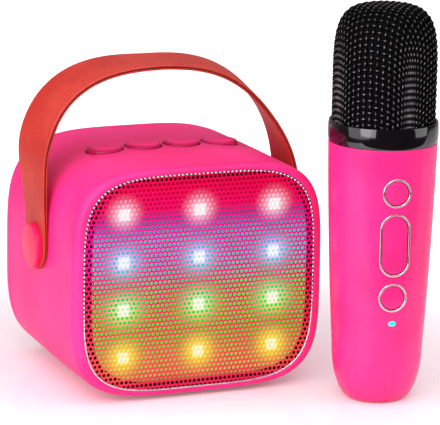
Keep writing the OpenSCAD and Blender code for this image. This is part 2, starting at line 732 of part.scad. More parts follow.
// ---- Top buttons ----
board_half = button_post_x + 3.4;
button_board_w = 13;
module button_board() {
  color(board_green) difference() {
    box([-board_half, board_half], [button_y - button_board_w / 2, button_y + button_board_w / 2],
      [button_board_z - board_t, button_board_z]);
    for (s = [-1, 1]) translate([s * button_post_x, button_y, button_board_z - board_t - 1]) cylinder(h = 4, r = 1.1);
  }
}
module tact_switch() {
  translate([-3, -3, 0]) cube([6, 6, switch_h]);
  translate([0, 0, switch_h]) cylinder(h = plunger_h, r = 1.7);
}
module button_switches() {
  color("#9A9AA0") for (i = [0:3]) translate([button_x(i), button_y, button_board_z]) tact_switch();
}
crown = 1;
module top_button(i) {
  top = top_at(button_x(i), 0) + button_rise;
  edge = [for (t = [0:22.5:90]) [button_r - 2.4 * (1 - cos(t)), top - crown * (1 - sin(t))]];
  color(body_pink) translate([button_x(i), button_y, 0]) rotate_extrude()
    polygon(concat([[0, stem_z], [1.8, stem_z], [1.8, flange_z - button_flange_t],
      [button_flange_r, flange_z - button_flange_t], [button_flange_r, flange_z], [button_r, flange_z]],
      edge, [[0, top]]));
}

// ---- Rear sockets ----
y_socket = main_y + board_t;
module charge_socket() {
  color(steel) difference() {
    pill_y(y_socket, socket_back, charge_x, socket_z, usb_w, usb_h);
    difference() {
      pill_y(y_socket + 1.2, socket_back + 1, charge_x, socket_z, usb_w - 0.7, usb_h - 0.7);
      box([charge_x - 3.3, charge_x + 3.3], [y_socket, socket_back - 0.8], [socket_z - 0.35, socket_z + 0.35]);
    }
  }
}
module aux_socket() {
  color(soot) difference() {
    union() {
      box([aux_x - 3.2, aux_x + 3.2], [y_socket, socket_back - 1.6], [socket_z - 2.6, socket_z + 2.6]);
      bar_y(y_socket, socket_back + 1.4, aux_r + 1.2, aux_x, socket_z);
    }
    bar_y(y_socket + 1, y_back, aux_r, aux_x, socket_z);
  }
}
module card_slot() {
  color(steel) difference() {
    box([card_x - 6.5, card_x + 6.5], [y_socket, socket_back], [socket_z - 1.1, socket_z + 1.1]);
    box([card_x - 5.6, card_x + 5.6], [y_socket + 1, socket_back + 1], [socket_z - 0.5, socket_z + 0.5]);
  }
}
module status_light() {
  color("#9FE8FF") bar_y(y_socket, y_back - 0.1, 1, light_x, socket_z);
}

// ---- Fasteners ----
// A pan-head screw along +Y, with its head's seat at the origin and its shank towards -Y.
module screw(r, head_r, head_h, long) {
  difference() {
    union() {
      bar_y(-long, 0, r);
      bar_y(0, head_h, head_r);
    }
    bar_y(head_h - 0.9, head_h + 1, head_r * 0.4, 0, 0, $fn = 6);
  }
}
module cover_screws() {
  color(steel) at_bosses() translate([0, y_split + cover_seat, 0]) screw(screw_d / 2 - 0.1, screw_d, 1.8, cover_seat + 9);
}
module baffle_screws() {
  long = y_baffle_back - y_flange + flange_bite;
  color(steel) at_baffle_screws() translate([0, y_baffle_back, 0]) screw(screw_d / 2 - 0.1, 2.4, 1.5, long);
}
module driver_screws() {
  color(steel) at_driver_screws() translate([0, y_driver + frame_t, 0])
    screw(0.9, 1.9, 1.4, frame_t + gasket_t + baffle_t - 0.4);
}
module board_screws() {
  color(steel) {
    at_main_posts() translate([0, main_y, 0]) mirror([0, 1, 0]) screw(small_r, small_head, 1.2, board_t + 4);
    for (s = [-1, 1]) translate([s * button_post_x, button_y, button_board_z - board_t]) rotate([-90, 0, 0])
      screw(small_r, small_head, 1.2, board_t + 3.2);
    at_tray_ears() translate([0, 0, tray_z + tray_floor]) rotate([90, 0, 0])
      screw(small_r, small_head, 1.2, tray_floor + 3);
    for (sx = [-1, 1], sz = [-1, 1])
      translate([sx * light_pitch_x / 2, y_led_board, body_zc + sz * light_pitch_z * 1.5])
        mirror([0, 1, 0]) screw(small_r, small_head, 1.2, board_t + 2);
  }
}
module foot_pad() {
  color("#3A3A3E") linear_extrude(foot_h - fit_gap) foot_outline(0);
}

// ---- Strap ----
// A knob with its pin on the right side of the body.
module knob() {
  r = knob_d / 2;
  face = [for (t = [0:18:90]) [r - 1.6 * (1 - cos(t)), strap_out + 0.15 + knob_h - 1.4 * (1 - sin(t))]];
  translate([0, pivot_y, pivot_z]) rotate([0, 90, 0]) rotate_extrude()
    polygon(concat([[0, side_x - wall - 3.2], [pin_d / 2, side_x - wall - 3.2], [pin_d / 2, strap_out + 0.15],
      [r, strap_out + 0.15]], face, [[0, strap_out + 0.15 + knob_h + 0.5]]));
}
module strap_knob_left() { color(body_pink) mirror([1, 0, 0]) knob(); }
module strap_knob_right() { color(body_pink) knob(); }
module strap_retainers() {
  color(steel) mirror_copy() difference() {
    bar_x(side_x - wall - 2.6, side_x - wall - 1.2 - fit_gap, pin_d / 2 + 2.6, pivot_y, pivot_z);
    bar_x(0, body_w, pin_d / 2 + 0.02, pivot_y, pivot_z);
  }
}

arch_steps = 40;
arch_h = strap_rise - lining_t - strap_t - strap_straight;
function smooth(u) = u * u * (3 - 2 * u);
// Inner face of the strap's arch: sideways place and height above the pivot, right foot to left foot.
function arch(t) =
  let (u = pow(sin(t), 2 / strap_square))
  [strap_in * signed_power(cos(t), 2 / strap_square) - strap_sway * smooth(u), strap_straight + arch_h * u];
function arch_point(i) = arch(180 * i / arch_steps);
function along(i) = (i == 0 || i == arch_steps) ? [0, i == 0 ? 1 : -1]
  : (arch_point(i + 1) - arch_point(i - 1)) / norm(arch_point(i + 1) - arch_point(i - 1));
function outward(i) = [along(i)[1], -along(i)[0]];
function arch_ring(i, t0, t1) =
  let (p = arch_point(i), n = outward(i), a = p + n * t0, b = p + n * t1, w = strap_w / 2)
  [[a[0], -w, a[1]], [a[0], w, a[1]], [b[0], w, b[1]], [b[0], -w, b[1]]];
module strap_band(t0, t1) {
  translate([0, pivot_y, pivot_z]) rotate([-strap_lean, 0, 0]) {
    loft([for (i = [0:arch_steps]) arch_ring(i, t0, t1)]);
    for (s = [-1, 1]) translate([s > 0 ? strap_in + t0 : -strap_in - t1, 0, 0])
      rotate([90, 0, 90]) linear_extrude(t1 - t0) difference() {
        union() {
          circle(d = strap_w, $fn = 64);
          translate([-strap_w / 2, 0]) square([strap_w, strap_straight]);
        }
        circle(r = pin_d / 2 + pin_fit);
      }
  }
}
module strap_outer() { color(leather_red) strap_band(lining_t, lining_t + strap_t); }
module strap_lining() { color("#A82828") strap_band(0, lining_t); }

// ---- Microphone, drawn about its own axis with its buttons facing -Y, then stood in its place ----
module mic_place() {
  translate([mic_x, -mic_front, 0]) rotate([0, 0, mic_turn]) children();
}
mic_belly = 0.42;
function grip_r(z) =
  let (s = (z - mic_foot_h) / (mic_grip_h - mic_foot_h))
  mic_low_r + (mic_top_r - mic_low_r) * s + mic_belly * 4 * s * (1 - s);
function foot_arc(inset) = [for (t = [0:15:90])
  [mic_base_r - inset * 0.4 + (mic_low_r - mic_base_r - inset * 0.6) * sin(t), inset + (mic_foot_h - inset) * (1 - cos(t))]];
grip_stations = [for (s = [0.2:0.2:1]) mic_foot_h + (mic_grip_h - mic_foot_h) * s];
function grip_side(inset) = concat(foot_arc(inset), [for (z = grip_stations) [grip_r(z) - inset, z]]);

// Everything on the front of the grip: its height, and its face's distance from the axis.
function face_at(z) = grip_r(z) + 0.35;
bezel_r = bezel_d / 2;
bezel_depth = 3;
volume_w = bezel_d + 0.8;
mic_board_y = -8.7;
mic_switch_y = mic_board_y - switch_h;
module disc_at(z, y0, y1, r) {
  bar_y(-y0, -y1, r, 0, z);
}
module pill_at(z, y0, y1, w, h) {
  translate([0, -y1, z]) rotate([90, 0, 0]) linear_extrude(y0 - y1) rotate(90) pill(h, w);
}
module mic_body() {
  color(body_pink) mic_place() difference() {
    rotate_extrude($fn = 96) polygon(concat([[0, 0]], grip_side(0),
      [for (i = [len(grip_side(0)) - 1:-1:0]) grip_side(mic_wall)[i]], [[0, mic_wall]]));
    for (z = [power_z, mode_z]) disc_at(z, face_at(z) + 1, face_at(z) - bezel_depth - 2.5, bezel_r + fit_gap);
    pill_at(volume_z, face_at(volume_z) + 1, face_at(volume_z) - bezel_depth - 2.5,
      volume_w + 2 * fit_gap, bezel_l + 2 * fit_gap);
    translate([0, -face_at(indicator_z) + 3, indicator_z]) rotate([90, 0, 0]) linear_extrude(6)
      pill(indicator_w, indicator_h, fit_gap);
    translate([0, mic_usb_y, -1]) linear_extrude(mic_wall + 2) pill(usb_w, usb_h, 0.9);
  }
}
collar_seat = 2.4;
spigot_l = 6;
spigot_r = mic_top_r - mic_wall - 0.2;
spigot_in = spigot_r - 2;
collar_top = mic_grip_h + collar_h;
module mic_collar() {
  rim = [for (t = [-60:30:60]) [collar_r - 1.2 * (1 - cos(t)), mic_grip_h + collar_h / 2 + (collar_h / 2 - 0.3) * sin(t) / sin(60)]];
  color("#08080A") mic_place() rotate_extrude($fn = 96) polygon(concat(
    [[spigot_in, mic_grip_h - spigot_l], [spigot_r, mic_grip_h - spigot_l], [spigot_r, mic_grip_h],
     [collar_r - 0.7, mic_grip_h]], rim,
    [[collar_r - 0.7, collar_top], [head_r + fit_gap, collar_top], [head_r + fit_gap, head_base],
     [spigot_in, head_base]]));
}
head_base = collar_top - collar_seat;
head_top = collar_top + head_h;
function dome(inset) = [for (t = [0:7.5:90]) [(head_r - inset) * pow(cos(t), 2 / dome_square),
  head_top - dome_h + (dome_h - inset) * pow(sin(t), 2 / dome_square)]];
function dome_shell(inset, t) = concat([[head_r - inset, head_base]], dome(inset),
  [for (i = [len(dome(0)) - 1:-1:0]) dome(inset + t)[i]], [[head_r - inset - t, head_base]]);
module mic_mesh() {
  color("#141416") mic_place() rotate_extrude($fn = 96) polygon(dome_shell(0, mesh_t));
}
foam_t = 3;
module mic_foam() {
  color("#202022") mic_place() rotate_extrude($fn = 64) polygon(dome_shell(mesh_t + fit_gap, foam_t));
}
capsule_r = 5;
capsule_z = head_base + 12;
module mic_cradle() {
  color(soot) mic_place() rotate_extrude() polygon([[3, head_base - 3], [spigot_in - 0.1, head_base - 3],
    [spigot_in - 0.1, head_base], [head_r - mesh_t - foam_t - 0.4, head_base],
    [head_r - mesh_t - foam_t - 0.4, head_base + 2], [capsule_r + 2.5, capsule_z - 1],
    [capsule_r + 2.5, capsule_z + 4], [capsule_r + fit_gap, capsule_z + 4], [capsule_r + fit_gap, capsule_z],
    [3, capsule_z]]);
}
module mic_capsule() {
  color(bright) mic_place() difference() {
    translate([0, 0, capsule_z]) cylinder(h = 6, r = capsule_r);
    translate([0, 0, capsule_z + 5.2]) cylinder(h = 2, r = capsule_r - 1.4);
  }
}
// The board stands in front of the chassis plate and the cell behind it.
mic_board_w = 19;
mic_board_z0 = 6.4;
plate_back = 0.2;
plate_front = -1.6;
rib_w = 2.4;
disc_h = 3;
chassis_z0 = 28;
chassis_z1 = mic_grip_h - spigot_l;
chassis_y = mic_board_y + board_t;
chassis_half = mic_board_w / 2 + 0.5;
mic_cell_y = plate_back + mic_cell_d / 2 + fit_gap;
mic_cell_z = chassis_z0 + 6;
mic_cell_l = 50;
module mic_chassis() {
  bottom_r = grip_r(chassis_z0) - mic_wall - 0.2;
  top_r = grip_r(chassis_z1 - disc_h) - mic_wall - 0.2;
  color("#3A3A40") mic_place() difference() {
    union() {
      box([-chassis_half, chassis_half], [plate_front, plate_back], [chassis_z0, chassis_z1]);
      for (s = [-1, 1]) translate([s * (chassis_half - rib_w / 2), 0, 0])
        box([-rib_w / 2, rib_w / 2], [chassis_y, 0], [chassis_z0, chassis_z1]);
      for (z = [mic_cell_z - 2 - fit_gap, mic_cell_z + mic_cell_l + fit_gap])
        box([-mic_cell_d / 2, mic_cell_d / 2], [0, mic_cell_y + 4], [z, z + 2]);
      translate([0, 0, chassis_z0]) cylinder(h = disc_h, r = bottom_r);
      translate([0, 0, chassis_z1 - disc_h]) cylinder(h = disc_h, r = top_r);
    }
    box([-chassis_half, chassis_half], [-collar_r, chassis_y], [chassis_z0 - 1, chassis_z1 + 1]);
  }
}
module mic_board() {
  color(board_green) mic_place()
    box([-mic_board_w / 2, mic_board_w / 2], [mic_board_y, chassis_y], [mic_board_z0, chassis_z1 - 1]);
}
module mic_battery() {
  color("#2F6FB4") mic_place() translate([0, mic_cell_y, mic_cell_z]) {
    cylinder(h = mic_cell_l - 1, r = mic_cell_d / 2);
    translate([0, 0, mic_cell_l - 1 - eps]) cylinder(h = 1 + eps, r = 2.6);
  }
}
module mic_switches() {
  color("#9A9AA0") mic_place() for (z = [power_z, volume_z + rocker_throw, volume_z - rocker_throw, mode_z])
    translate([0, mic_board_y, z]) rotate([90, 0, 0]) tact_switch();
}
cap_r_mic = bezel_r - bezel_face - run_gap;
// Depth of the buttons' faces inside their bezels.
face_drop = 0.25;
stem_face = -mic_switch_y + plunger_h;
module mic_press(z) {
  face = face_at(z) - face_drop;
  flange = face_at(z) - bezel_depth - 0.15;
  disc_at(z, face, flange - 1, cap_r_mic);
  disc_at(z, flange, flange - 1, bezel_r - 0.15);
  disc_at(z, flange, stem_face + mic_travel + 0.15, 1.5);
}
module mic_power_button() { color(body_pink) mic_place() mic_press(power_z); }
module mic_mode_button() { color(body_pink) mic_place() mic_press(mode_z); }
rocker_w = volume_w - 2 * bezel_face - 2 * run_gap;
rocker_l = bezel_l - 2 * bezel_face - 2 * run_gap;
rocker_axis = face_at(volume_z) - 2.3;
rocker_throw = 7.5;
trunnion_r = 0.7;
module mic_volume_rocker() {
  face = face_at(volume_z) - face_drop;
  color(body_pink) mic_place() {
    pill_at(volume_z, face, face - 4, rocker_w, rocker_l);
    bar_x(-volume_w / 2 + 0.15, volume_w / 2 - 0.15, trunnion_r, -rocker_axis, volume_z);
    for (s = [-1, 1]) disc_at(volume_z + s * rocker_throw, face - 3, stem_face + 0.45, 1.5);
  }
}
module bezel_ring(z) {
  difference() {
    disc_at(z, face_at(z), face_at(z) - bezel_depth, bezel_r);
    disc_at(z, face_at(z) + 1, face_at(z) - bezel_depth - 1, bezel_r - bezel_face);
  }
}
module mic_round_bezels() {
  color(bright) mic_place() for (z = [power_z, mode_z]) bezel_ring(z);
}
module mic_volume_bezel() {
  f = face_at(volume_z);
  color(bright) mic_place() difference() {
    pill_at(volume_z, f, f - bezel_depth, volume_w, bezel_l);
    pill_at(volume_z, f + 1, f - bezel_depth - 1, volume_w - 2 * bezel_face, bezel_l - 2 * bezel_face);
    // Notches that the rocker turns in.
    bar_x(-volume_w, volume_w, trunnion_r + fit_gap, -rocker_axis, volume_z);
    box([-volume_w, volume_w], [-rocker_axis, 0], [volume_z - trunnion_r - fit_gap, volume_z + trunnion_r + fit_gap]);
  }
}
indicator_z = 34.2;
indicator_w = 3.4;
indicator_h = 2.2;
module mic_indicator() {
  front = grip_r(indicator_z) + 0.1;
  color("#4FD8F0") mic_place() translate([0, -front + 5, indicator_z]) rotate([90, 0, 0])
    linear_extrude(5) pill(indicator_w, indicator_h);
}
mic_usb_y = chassis_y + usb_h / 2;
mic_usb_z = mic_wall + 0.3;
mic_usb_l = 7.8;
module mic_charge_socket() {
  color(steel) mic_place() difference() {
    translate([0, mic_usb_y, mic_usb_z]) linear_extrude(mic_usb_l) pill(usb_w, usb_h);
    difference() {
      translate([0, mic_usb_y, mic_usb_z - 1]) linear_extrude(mic_usb_l) pill(usb_w - 0.7, usb_h - 0.7);
      box([-3.3, 3.3], [mic_usb_y - 0.35, mic_usb_y + 0.35], [mic_usb_z + 0.8, mic_usb_z + mic_usb_l]);
    }
  }
}

housing_shell();
rear_cover();
trim_ring();
grille();
light_diffuser();
led_board();
leds();
baffle();
driver_gasket();
driver_frame();
driver_top_plate();
driver_magnet();
driver_yoke();
driver_surround();
driver_spider();
driver_cone();
driver_coil();
dust_cap();
main_board();
board_components();
battery_cell();
battery_tray();
inner_leads();
button_board();
button_switches();
top_button(0);  // top_button_1
top_button(1);  // top_button_2
top_button(2);  // top_button_3
top_button(3);  // top_button_4
charge_socket();
aux_socket();
card_slot();
status_light();
cover_screws();
baffle_screws();
driver_screws();
board_screws();
foot_pad();
strap_knob_left();
strap_knob_right();
strap_retainers();
strap_outer();
strap_lining();
mic_body();
mic_collar();
mic_mesh();
mic_foam();
mic_capsule();
mic_cradle();
mic_chassis();
mic_board();
mic_switches();
mic_battery();
mic_power_button();
mic_volume_rocker();
mic_mode_button();
mic_round_bezels();
mic_volume_bezel();
mic_indicator();
mic_charge_socket();
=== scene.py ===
# A small lit karaoke speaker with a leather carrying strap, and its cordless microphone.
import math

import bmesh
import bpy
import numpy as np
from mathutils import Matrix, Vector


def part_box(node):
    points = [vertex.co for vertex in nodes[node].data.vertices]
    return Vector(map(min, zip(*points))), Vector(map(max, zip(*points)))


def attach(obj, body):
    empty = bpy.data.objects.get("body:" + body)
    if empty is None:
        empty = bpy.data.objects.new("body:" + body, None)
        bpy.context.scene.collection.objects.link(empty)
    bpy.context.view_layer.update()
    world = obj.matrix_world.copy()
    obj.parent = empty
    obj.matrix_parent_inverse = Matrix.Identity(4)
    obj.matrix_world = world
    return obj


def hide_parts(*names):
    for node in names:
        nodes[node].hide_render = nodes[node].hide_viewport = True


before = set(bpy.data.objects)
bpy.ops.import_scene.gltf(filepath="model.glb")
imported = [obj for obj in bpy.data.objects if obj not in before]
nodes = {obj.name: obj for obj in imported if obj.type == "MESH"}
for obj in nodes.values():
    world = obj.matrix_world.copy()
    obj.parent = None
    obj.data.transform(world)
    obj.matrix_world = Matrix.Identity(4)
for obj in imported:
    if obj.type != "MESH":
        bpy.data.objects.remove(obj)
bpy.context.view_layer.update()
scene = bpy.context.scene
print("frame loaded:", len(nodes), "nodes")

milli = 0.001  # pieces are shaped in millimetres and scaled once, when they are finished


# ---- camera ----
camera = {
    "place": (-419.785, -1063.19, 333.11),
    "yaw": 22.76,  # degrees to the right of straight ahead
    "pitch": 13.21,  # degrees down
    "roll": 1.02,
    "lens": 238.7,
}


def setCamera():
    yaw, pitch, roll = (math.radians(camera[key]) for key in ("yaw", "pitch", "roll"))
    ahead = Vector((math.sin(yaw) * math.cos(pitch), math.cos(yaw) * math.cos(pitch), -math.sin(pitch)))
    side = Vector((math.cos(yaw), -math.sin(yaw), 0))
    above = side.cross(ahead)
    across = side * math.cos(roll) + above * math.sin(roll)
    upright = above * math.cos(roll) - side * math.sin(roll)
    data = bpy.data.cameras.new("camera")
    data.sensor_width, data.lens, data.clip_end = 36, camera["lens"], 50
    made = bpy.data.objects.new("camera", data)
    turn = Matrix((across, upright, -ahead)).transposed().to_4x4()
    made.matrix_world = Matrix.Translation(Vector(camera["place"]) * milli) @ turn
    scene.collection.objects.link(made)
    scene.camera = made


setCamera()
scene.view_settings.view_transform = "Standard"
print("camera set")


# ---- materials ----
def paint(red, green, blue):  # a screen colour from 0 to 255, as the linear colour that sockets take
    linear = [v / 12.92 if v <= 0.04045 else ((v + 0.055) / 1.055) ** 2.4 for v in (red / 255, green / 255, blue / 255)]
    return (*linear, 1)


class Wire:  # one socket, which joins in sums as a number does
    def __init__(self, tree, socket):
        self.tree, self.socket = tree, socket

    def node(self, kind, settings=None, out=0, **values):
        made = self.tree.nodes.new(kind)
        for key, value in (settings or {}).items():
            if key == "stops":
                ramp = made.color_ramp.elements
                while len(ramp) < len(value):
                    ramp.new(0.5)
                for element, (position, colour) in zip(ramp, value):
                    element.position, element.color = position, colour
            elif key == "blend":
                made.color_ramp.interpolation = value
            else:
                setattr(made, key, value)
        for key, value in values.items():
            name = key.replace("_", " ")
            target = made.inputs[int(key[1:])] if key[0] == "n" and key[1:].isdigit() else made.inputs[name]
            if isinstance(value, Wire):
                self.tree.links.new(value.socket, target)
            else:
                target.default_value = value
        return Wire(self.tree, made.outputs[out])

    def maths(self, operation, *values):
        return self.node("ShaderNodeMath", {"operation": operation}, **{f"n{i}": v for i, v in enumerate(values)})

    def __add__(self, other):
        return self.maths("ADD", self, other)

    def __sub__(self, other):
        return self.maths("SUBTRACT", self, other)

    def __rsub__(self, other):
        return self.maths("SUBTRACT", other, self)

    def __mul__(self, other):
        return self.maths("MULTIPLY", self, other)

    def __truediv__(self, other):
        return self.maths("DIVIDE", self, other)

    def __rtruediv__(self, other):
        return self.maths("DIVIDE", other, self)

    def __pow__(self, other):
        return self.maths("POWER", self, other)

    __radd__, __rmul__ = __add__, __mul__

    def smooth(self, low, high):  # 0 below low, 1 above high
        return self.node("ShaderNodeMapRange", {"interpolation_type": "SMOOTHSTEP"}, Value=self, From_Min=low, From_Max=high)

    def ramp(self, *stops, blend="LINEAR"):
        return self.node("ShaderNodeValToRGB", {"stops": stops, "blend": blend}, Fac=self)

    def mix(self, first, second, blend="MIX"):  # colours, by this value
        return self.node("ShaderNodeMix", {"data_type": "RGBA", "blend_type": blend}, out=2, n0=self, n6=first, n7=second)

    def stretch(self, x, y, z):
        return self.node("ShaderNodeMapping", Vector=self, Scale=(x, y, z))

    def noise(self, scale, detail=3.0, roughness=0.5):
        return self.node("ShaderNodeTexNoise", Vector=self, Scale=scale, Detail=detail, Roughness=roughness)

    def cells(self, scale, feature="F1", out=0, randomness=1.0):
        return self.node("ShaderNodeTexVoronoi", {"feature": feature}, out=out, Vector=self, Scale=scale, Randomness=randomness)


class Finish:  # one material; its place wire is the position on the piece in metres
    def __init__(self, name, **values):
        self.material = bpy.data.materials.new(name)
        self.material.use_nodes = True
        tree = self.material.node_tree
        self.shader = tree.nodes["Principled BSDF"]
        self.place = Wire(tree, tree.nodes.new("ShaderNodeTexCoord").outputs["Object"])
        self.set(**values)

    def set(self, **values):
        for key, value in values.items():
            target = self.shader.inputs[key.replace("_", " ")]
            if isinstance(value, Wire):
                self.material.node_tree.links.new(value.socket, target)
            else:
                target.default_value = value

    def axes(self):
        split = self.place.node("ShaderNodeSeparateXYZ", Vector=self.place)
        outputs = split.socket.node.outputs
        return [Wire(split.tree, outputs[i]) for i in range(3)]

    def bump(self, height, strength, depth):
        self.set(Normal=self.place.node("ShaderNodeBump", Strength=strength, Distance=depth, Height=height))


def mottled(name, dark, light, size, grain, rough, spread=0.08, depth=0.00004, bumpStrength=0.35, **values):
    made = Finish(name, **values)  # two close tones in soft patches, with a fine grain
    patches = made.place.noise(size, 4.0)
    fine = made.place.noise(grain, 2.0)
    made.set(Base_Color=patches.smooth(0.3, 0.7).mix(dark, light), Roughness=rough + (fine - 0.5) * spread * 2)
    made.bump(fine, bumpStrength, depth)
    return made


pink = {
    "dark": paint(248, 38, 124),
    "light": paint(251, 50, 138),
    "worn": paint(255, 92, 160),
    # gap: the colour of the painted shade round the top buttons
    "gap": paint(150, 8, 56),
    "deep": paint(222, 0, 66),
    "patch": 28.0,
    "grain": 2600.0,
    "rough": 0.42,
}


def makePinkPlastic(name, rough, grain, coat, depth, gapShade=False, deep=0.0):
    made = Finish(name, Specular_IOR_Level=0.25, Coat_Roughness=0.1)
    patches = made.place.noise(pink["patch"], 3.0)
    fine = made.place.noise(grain, 2.0, 0.6)
    speck = made.place.cells(grain * 0.35)
    scuffs = made.place.noise(150.0, 5.0, 0.65).smooth(0.58, 0.78)  # faint rubbed places
    tone = (scuffs * 0.3).mix(patches.smooth(0.35, 0.65).mix(pink["dark"], pink["light"]), pink["worn"])
    if deep:
        tone = (patches * 0.1 + deep).mix(tone, pink["deep"])
    if gapShade:  # painted shade in the gap round each top button: the hole wall and the outer rim of each button's top are darkened
        x, y, z = made.axes()
        x, y = x * 1000.0, y * 1000.0 - buttons["y"]
        column = (x - buttons["x"][0]) / 16.4
        column = column.maths("MINIMUM", column.maths("MAXIMUM", column.maths("ROUND", column), 0.0), 3.0)
        x = x - buttons["x"][0] - column * 16.4
        far = x * x + y * y
        far = far.maths("SQRT", far)
        tone = (far.smooth(5.6, 7.15) * far.smooth(8.0, 7.6) * z.smooth(0.08, 0.084) * 0.85).mix(tone, pink["gap"])
    made.set(
        Base_Color=tone,
        Roughness=rough + (fine - 0.5) * 0.08 + (speck - 0.5) * 0.03,
        Coat_Weight=coat + patches * 0.04,
    )
    made.bump(fine * 0.7 + speck * 0.3, 0.12, depth)
    return made


# places of the top buttons
buttons = {"x": (-24.6, -8.2, 8.2, 24.6), "y": -2.0, "radius": 7.2, "gap": 0.38, "rise": 1.3, "crown": 1.0, "edge": 2.4}

pinkSoft = makePinkPlastic("pink moulded plastic", 0.44, pink["grain"], 0.0, 0.00002)
# the housing and the top buttons carry painted shade round the buttons
pinkTop = makePinkPlastic("pink moulded plastic with buttons", 0.44, pink["grain"], 0.0, 0.00002, gapShade=True)
pinkDeep = makePinkPlastic("deep pink plastic", 0.3, 1800.0, 0.1, 0.000001, deep=0.75)
pinkSatin = makePinkPlastic("pink satin plastic", 0.26, 1800.0, 0.12, 0.000001)
print("body plastics made")


# ---- mesh helpers ----
def asObject(name, bm):
    mesh = bpy.data.meshes.new(name)
    bm.to_mesh(mesh)
    bm.free()
    made = bpy.data.objects.new(name, mesh)
    scene.collection.objects.link(made)
    return made


def fromObject(thing):  # the finished mesh of an object, which is then removed
    shown = thing.evaluated_get(bpy.context.evaluated_depsgraph_get())
    bm = bmesh.new()
    bm.from_mesh(shown.to_mesh())
    shown.to_mesh_clear()
    data = thing.data
    bpy.data.objects.remove(thing)
    (bpy.data.meshes if isinstance(data, bpy.types.Mesh) else bpy.data.curves).remove(data)
    return bm


def carve(bm, cutter, operation="DIFFERENCE"):
    whole, tool = asObject("whole", bm), asObject("tool", cutter)
    modifier = whole.modifiers.new("carve", "BOOLEAN")
    modifier.operation, modifier.solver, modifier.object = operation, "EXACT", tool
    modifier.use_self = True
    result = fromObject(whole)
    bpy.data.meshes.remove(tool.data)
    return result


def finishPiece(name, bm, body, finish, replaced=(), crease=32, turn=None):
    if turn is not None:
        bm.transform(turn)
    bmesh.ops.scale(bm, vec=(milli, milli, milli), verts=bm.verts)
    bmesh.ops.dissolve_degenerate(bm, dist=1e-7, edges=bm.edges)
    for face in bm.faces:
        face.smooth = True
    for edge in bm.edges:
        edge.smooth = len(edge.link_faces) == 2 and edge.calc_face_angle(0) < math.radians(crease)
    piece = asObject(name, bm)
    piece.data.materials.append(finish.material)
    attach(piece, body)
    if replaced:
        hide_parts(*replaced)
    return piece


def signedPower(value, power):
    return math.copysign(abs(value) ** power, value)


def reach(angle, a, b, n):  # distance from the middle of a rounded square to its outline
    return (abs(math.cos(angle) / a) ** n + abs(math.sin(angle) / b) ** n) ** (-1 / n)


def placeRing(verts, y, a, b, n, middle):
    for vert in verts:
        angle = math.atan2(vert.co.z - middle, vert.co.x)
        r = reach(angle, a, b, n)
        vert.co = (r * math.cos(angle), y, middle + r * math.sin(angle))


def loftRings(rings, middle, segments=256, close=True, capFirst=False, capLast=False):
    bm = bmesh.new()  # a skin through rounded-square rings, each one (y, half width, half height, squareness)
    bmesh.ops.create_circle(bm, segments=segments, radius=1, matrix=Matrix.Translation((0, 0, middle)) @ Matrix.Rotation(math.pi / 2, 4, "X"))
    loop = list(bm.edges)
    placeRing(bm.verts, *rings[0], middle)
    first = list(bm.edges)
    for ring in rings[1:]:
        grown = bmesh.ops.extrude_edge_only(bm, edges=loop)["geom"]
        placeRing([g for g in grown if isinstance(g, bmesh.types.BMVert)], *ring, middle)
        loop = [g for g in grown if isinstance(g, bmesh.types.BMEdge) and all(v in grown for v in g.verts)]
        grownVerts = {g for g in grown if isinstance(g, bmesh.types.BMVert)}
        loop = [e for e in loop if e.verts[0] in grownVerts and e.verts[1] in grownVerts]
    if capFirst:
        bmesh.ops.contextual_create(bm, geom=first)
    if capLast:
        bmesh.ops.contextual_create(bm, geom=loop)
    if close:
        bmesh.ops.bridge_loops(bm, edges=first + loop)
    bmesh.ops.recalc_face_normals(bm, faces=bm.faces)
    return bm


def lathe(profile, segments=96, closed=False, axis="Z"):
    bm = bmesh.new()  # a profile of radius and height, turned about its axis
    verts = [bm.verts.new((r, 0, z)) for r, z in profile]
    edges = [bm.edges.new(pair) for pair in zip(verts, verts[1:])]
    if closed:
        edges.append(bm.edges.new((verts[-1], verts[0])))
    bmesh.ops.spin(bm, geom=verts + edges, cent=(0, 0, 0), axis=(0, 0, 1), dvec=(0, 0, 0), angle=math.tau, steps=segments, use_merge=True)
    bmesh.ops.remove_doubles(bm, verts=bm.verts, dist=1e-4)
    bmesh.ops.recalc_face_normals(bm, faces=bm.faces)
    return bm


def rod(bm, start, end, radius, segments=48):
    start, end = Vector(start), Vector(end)
    turn = (end - start).to_track_quat("Z", "Y").to_matrix().to_4x4()
    bmesh.ops.create_cone(bm, cap_ends=True, segments=segments, radius1=radius, radius2=radius, depth=(end - start).length, matrix=Matrix.Translation((start + end) / 2) @ turn)


def stadium(bm, width, height, depth, place, segments=48):  # a long round-ended bar lying along X, Z or both, drawn in X and Z and going back along Y
    made = bmesh.ops.create_circle(bm, cap_ends=True, segments=segments, radius=min(width, height) / 2, matrix=Matrix.Rotation(math.pi / 2, 4, "X"))["verts"]
    stretchX, stretchZ = max(width - height, 0) / 2, max(height - width, 0) / 2
    for vert in made:
        vert.co.x += math.copysign(stretchX, vert.co.x)
        vert.co.z += math.copysign(stretchZ, vert.co.z)
    face = next(f for f in made[0].link_faces)
    grown = bmesh.ops.extrude_face_region(bm, geom=[face])["geom"]
    bmesh.ops.translate(bm, vec=(0, depth, 0), verts=[g for g in grown if isinstance(g, bmesh.types.BMVert)])
    bmesh.ops.translate(bm, vec=place, verts=made + [g for g in grown if isinstance(g, bmesh.types.BMVert)])
    bmesh.ops.recalc_face_normals(bm, faces=bm.faces)


def block(bm, low, high):
    size = [b - a for a, b in zip(low, high)]
    middle = [(a + b) / 2 for a, b in zip(low, high)]
    bmesh.ops.create_cube(bm, size=1, matrix=Matrix.Translation(middle) @ Matrix.Diagonal((*size, 1)))


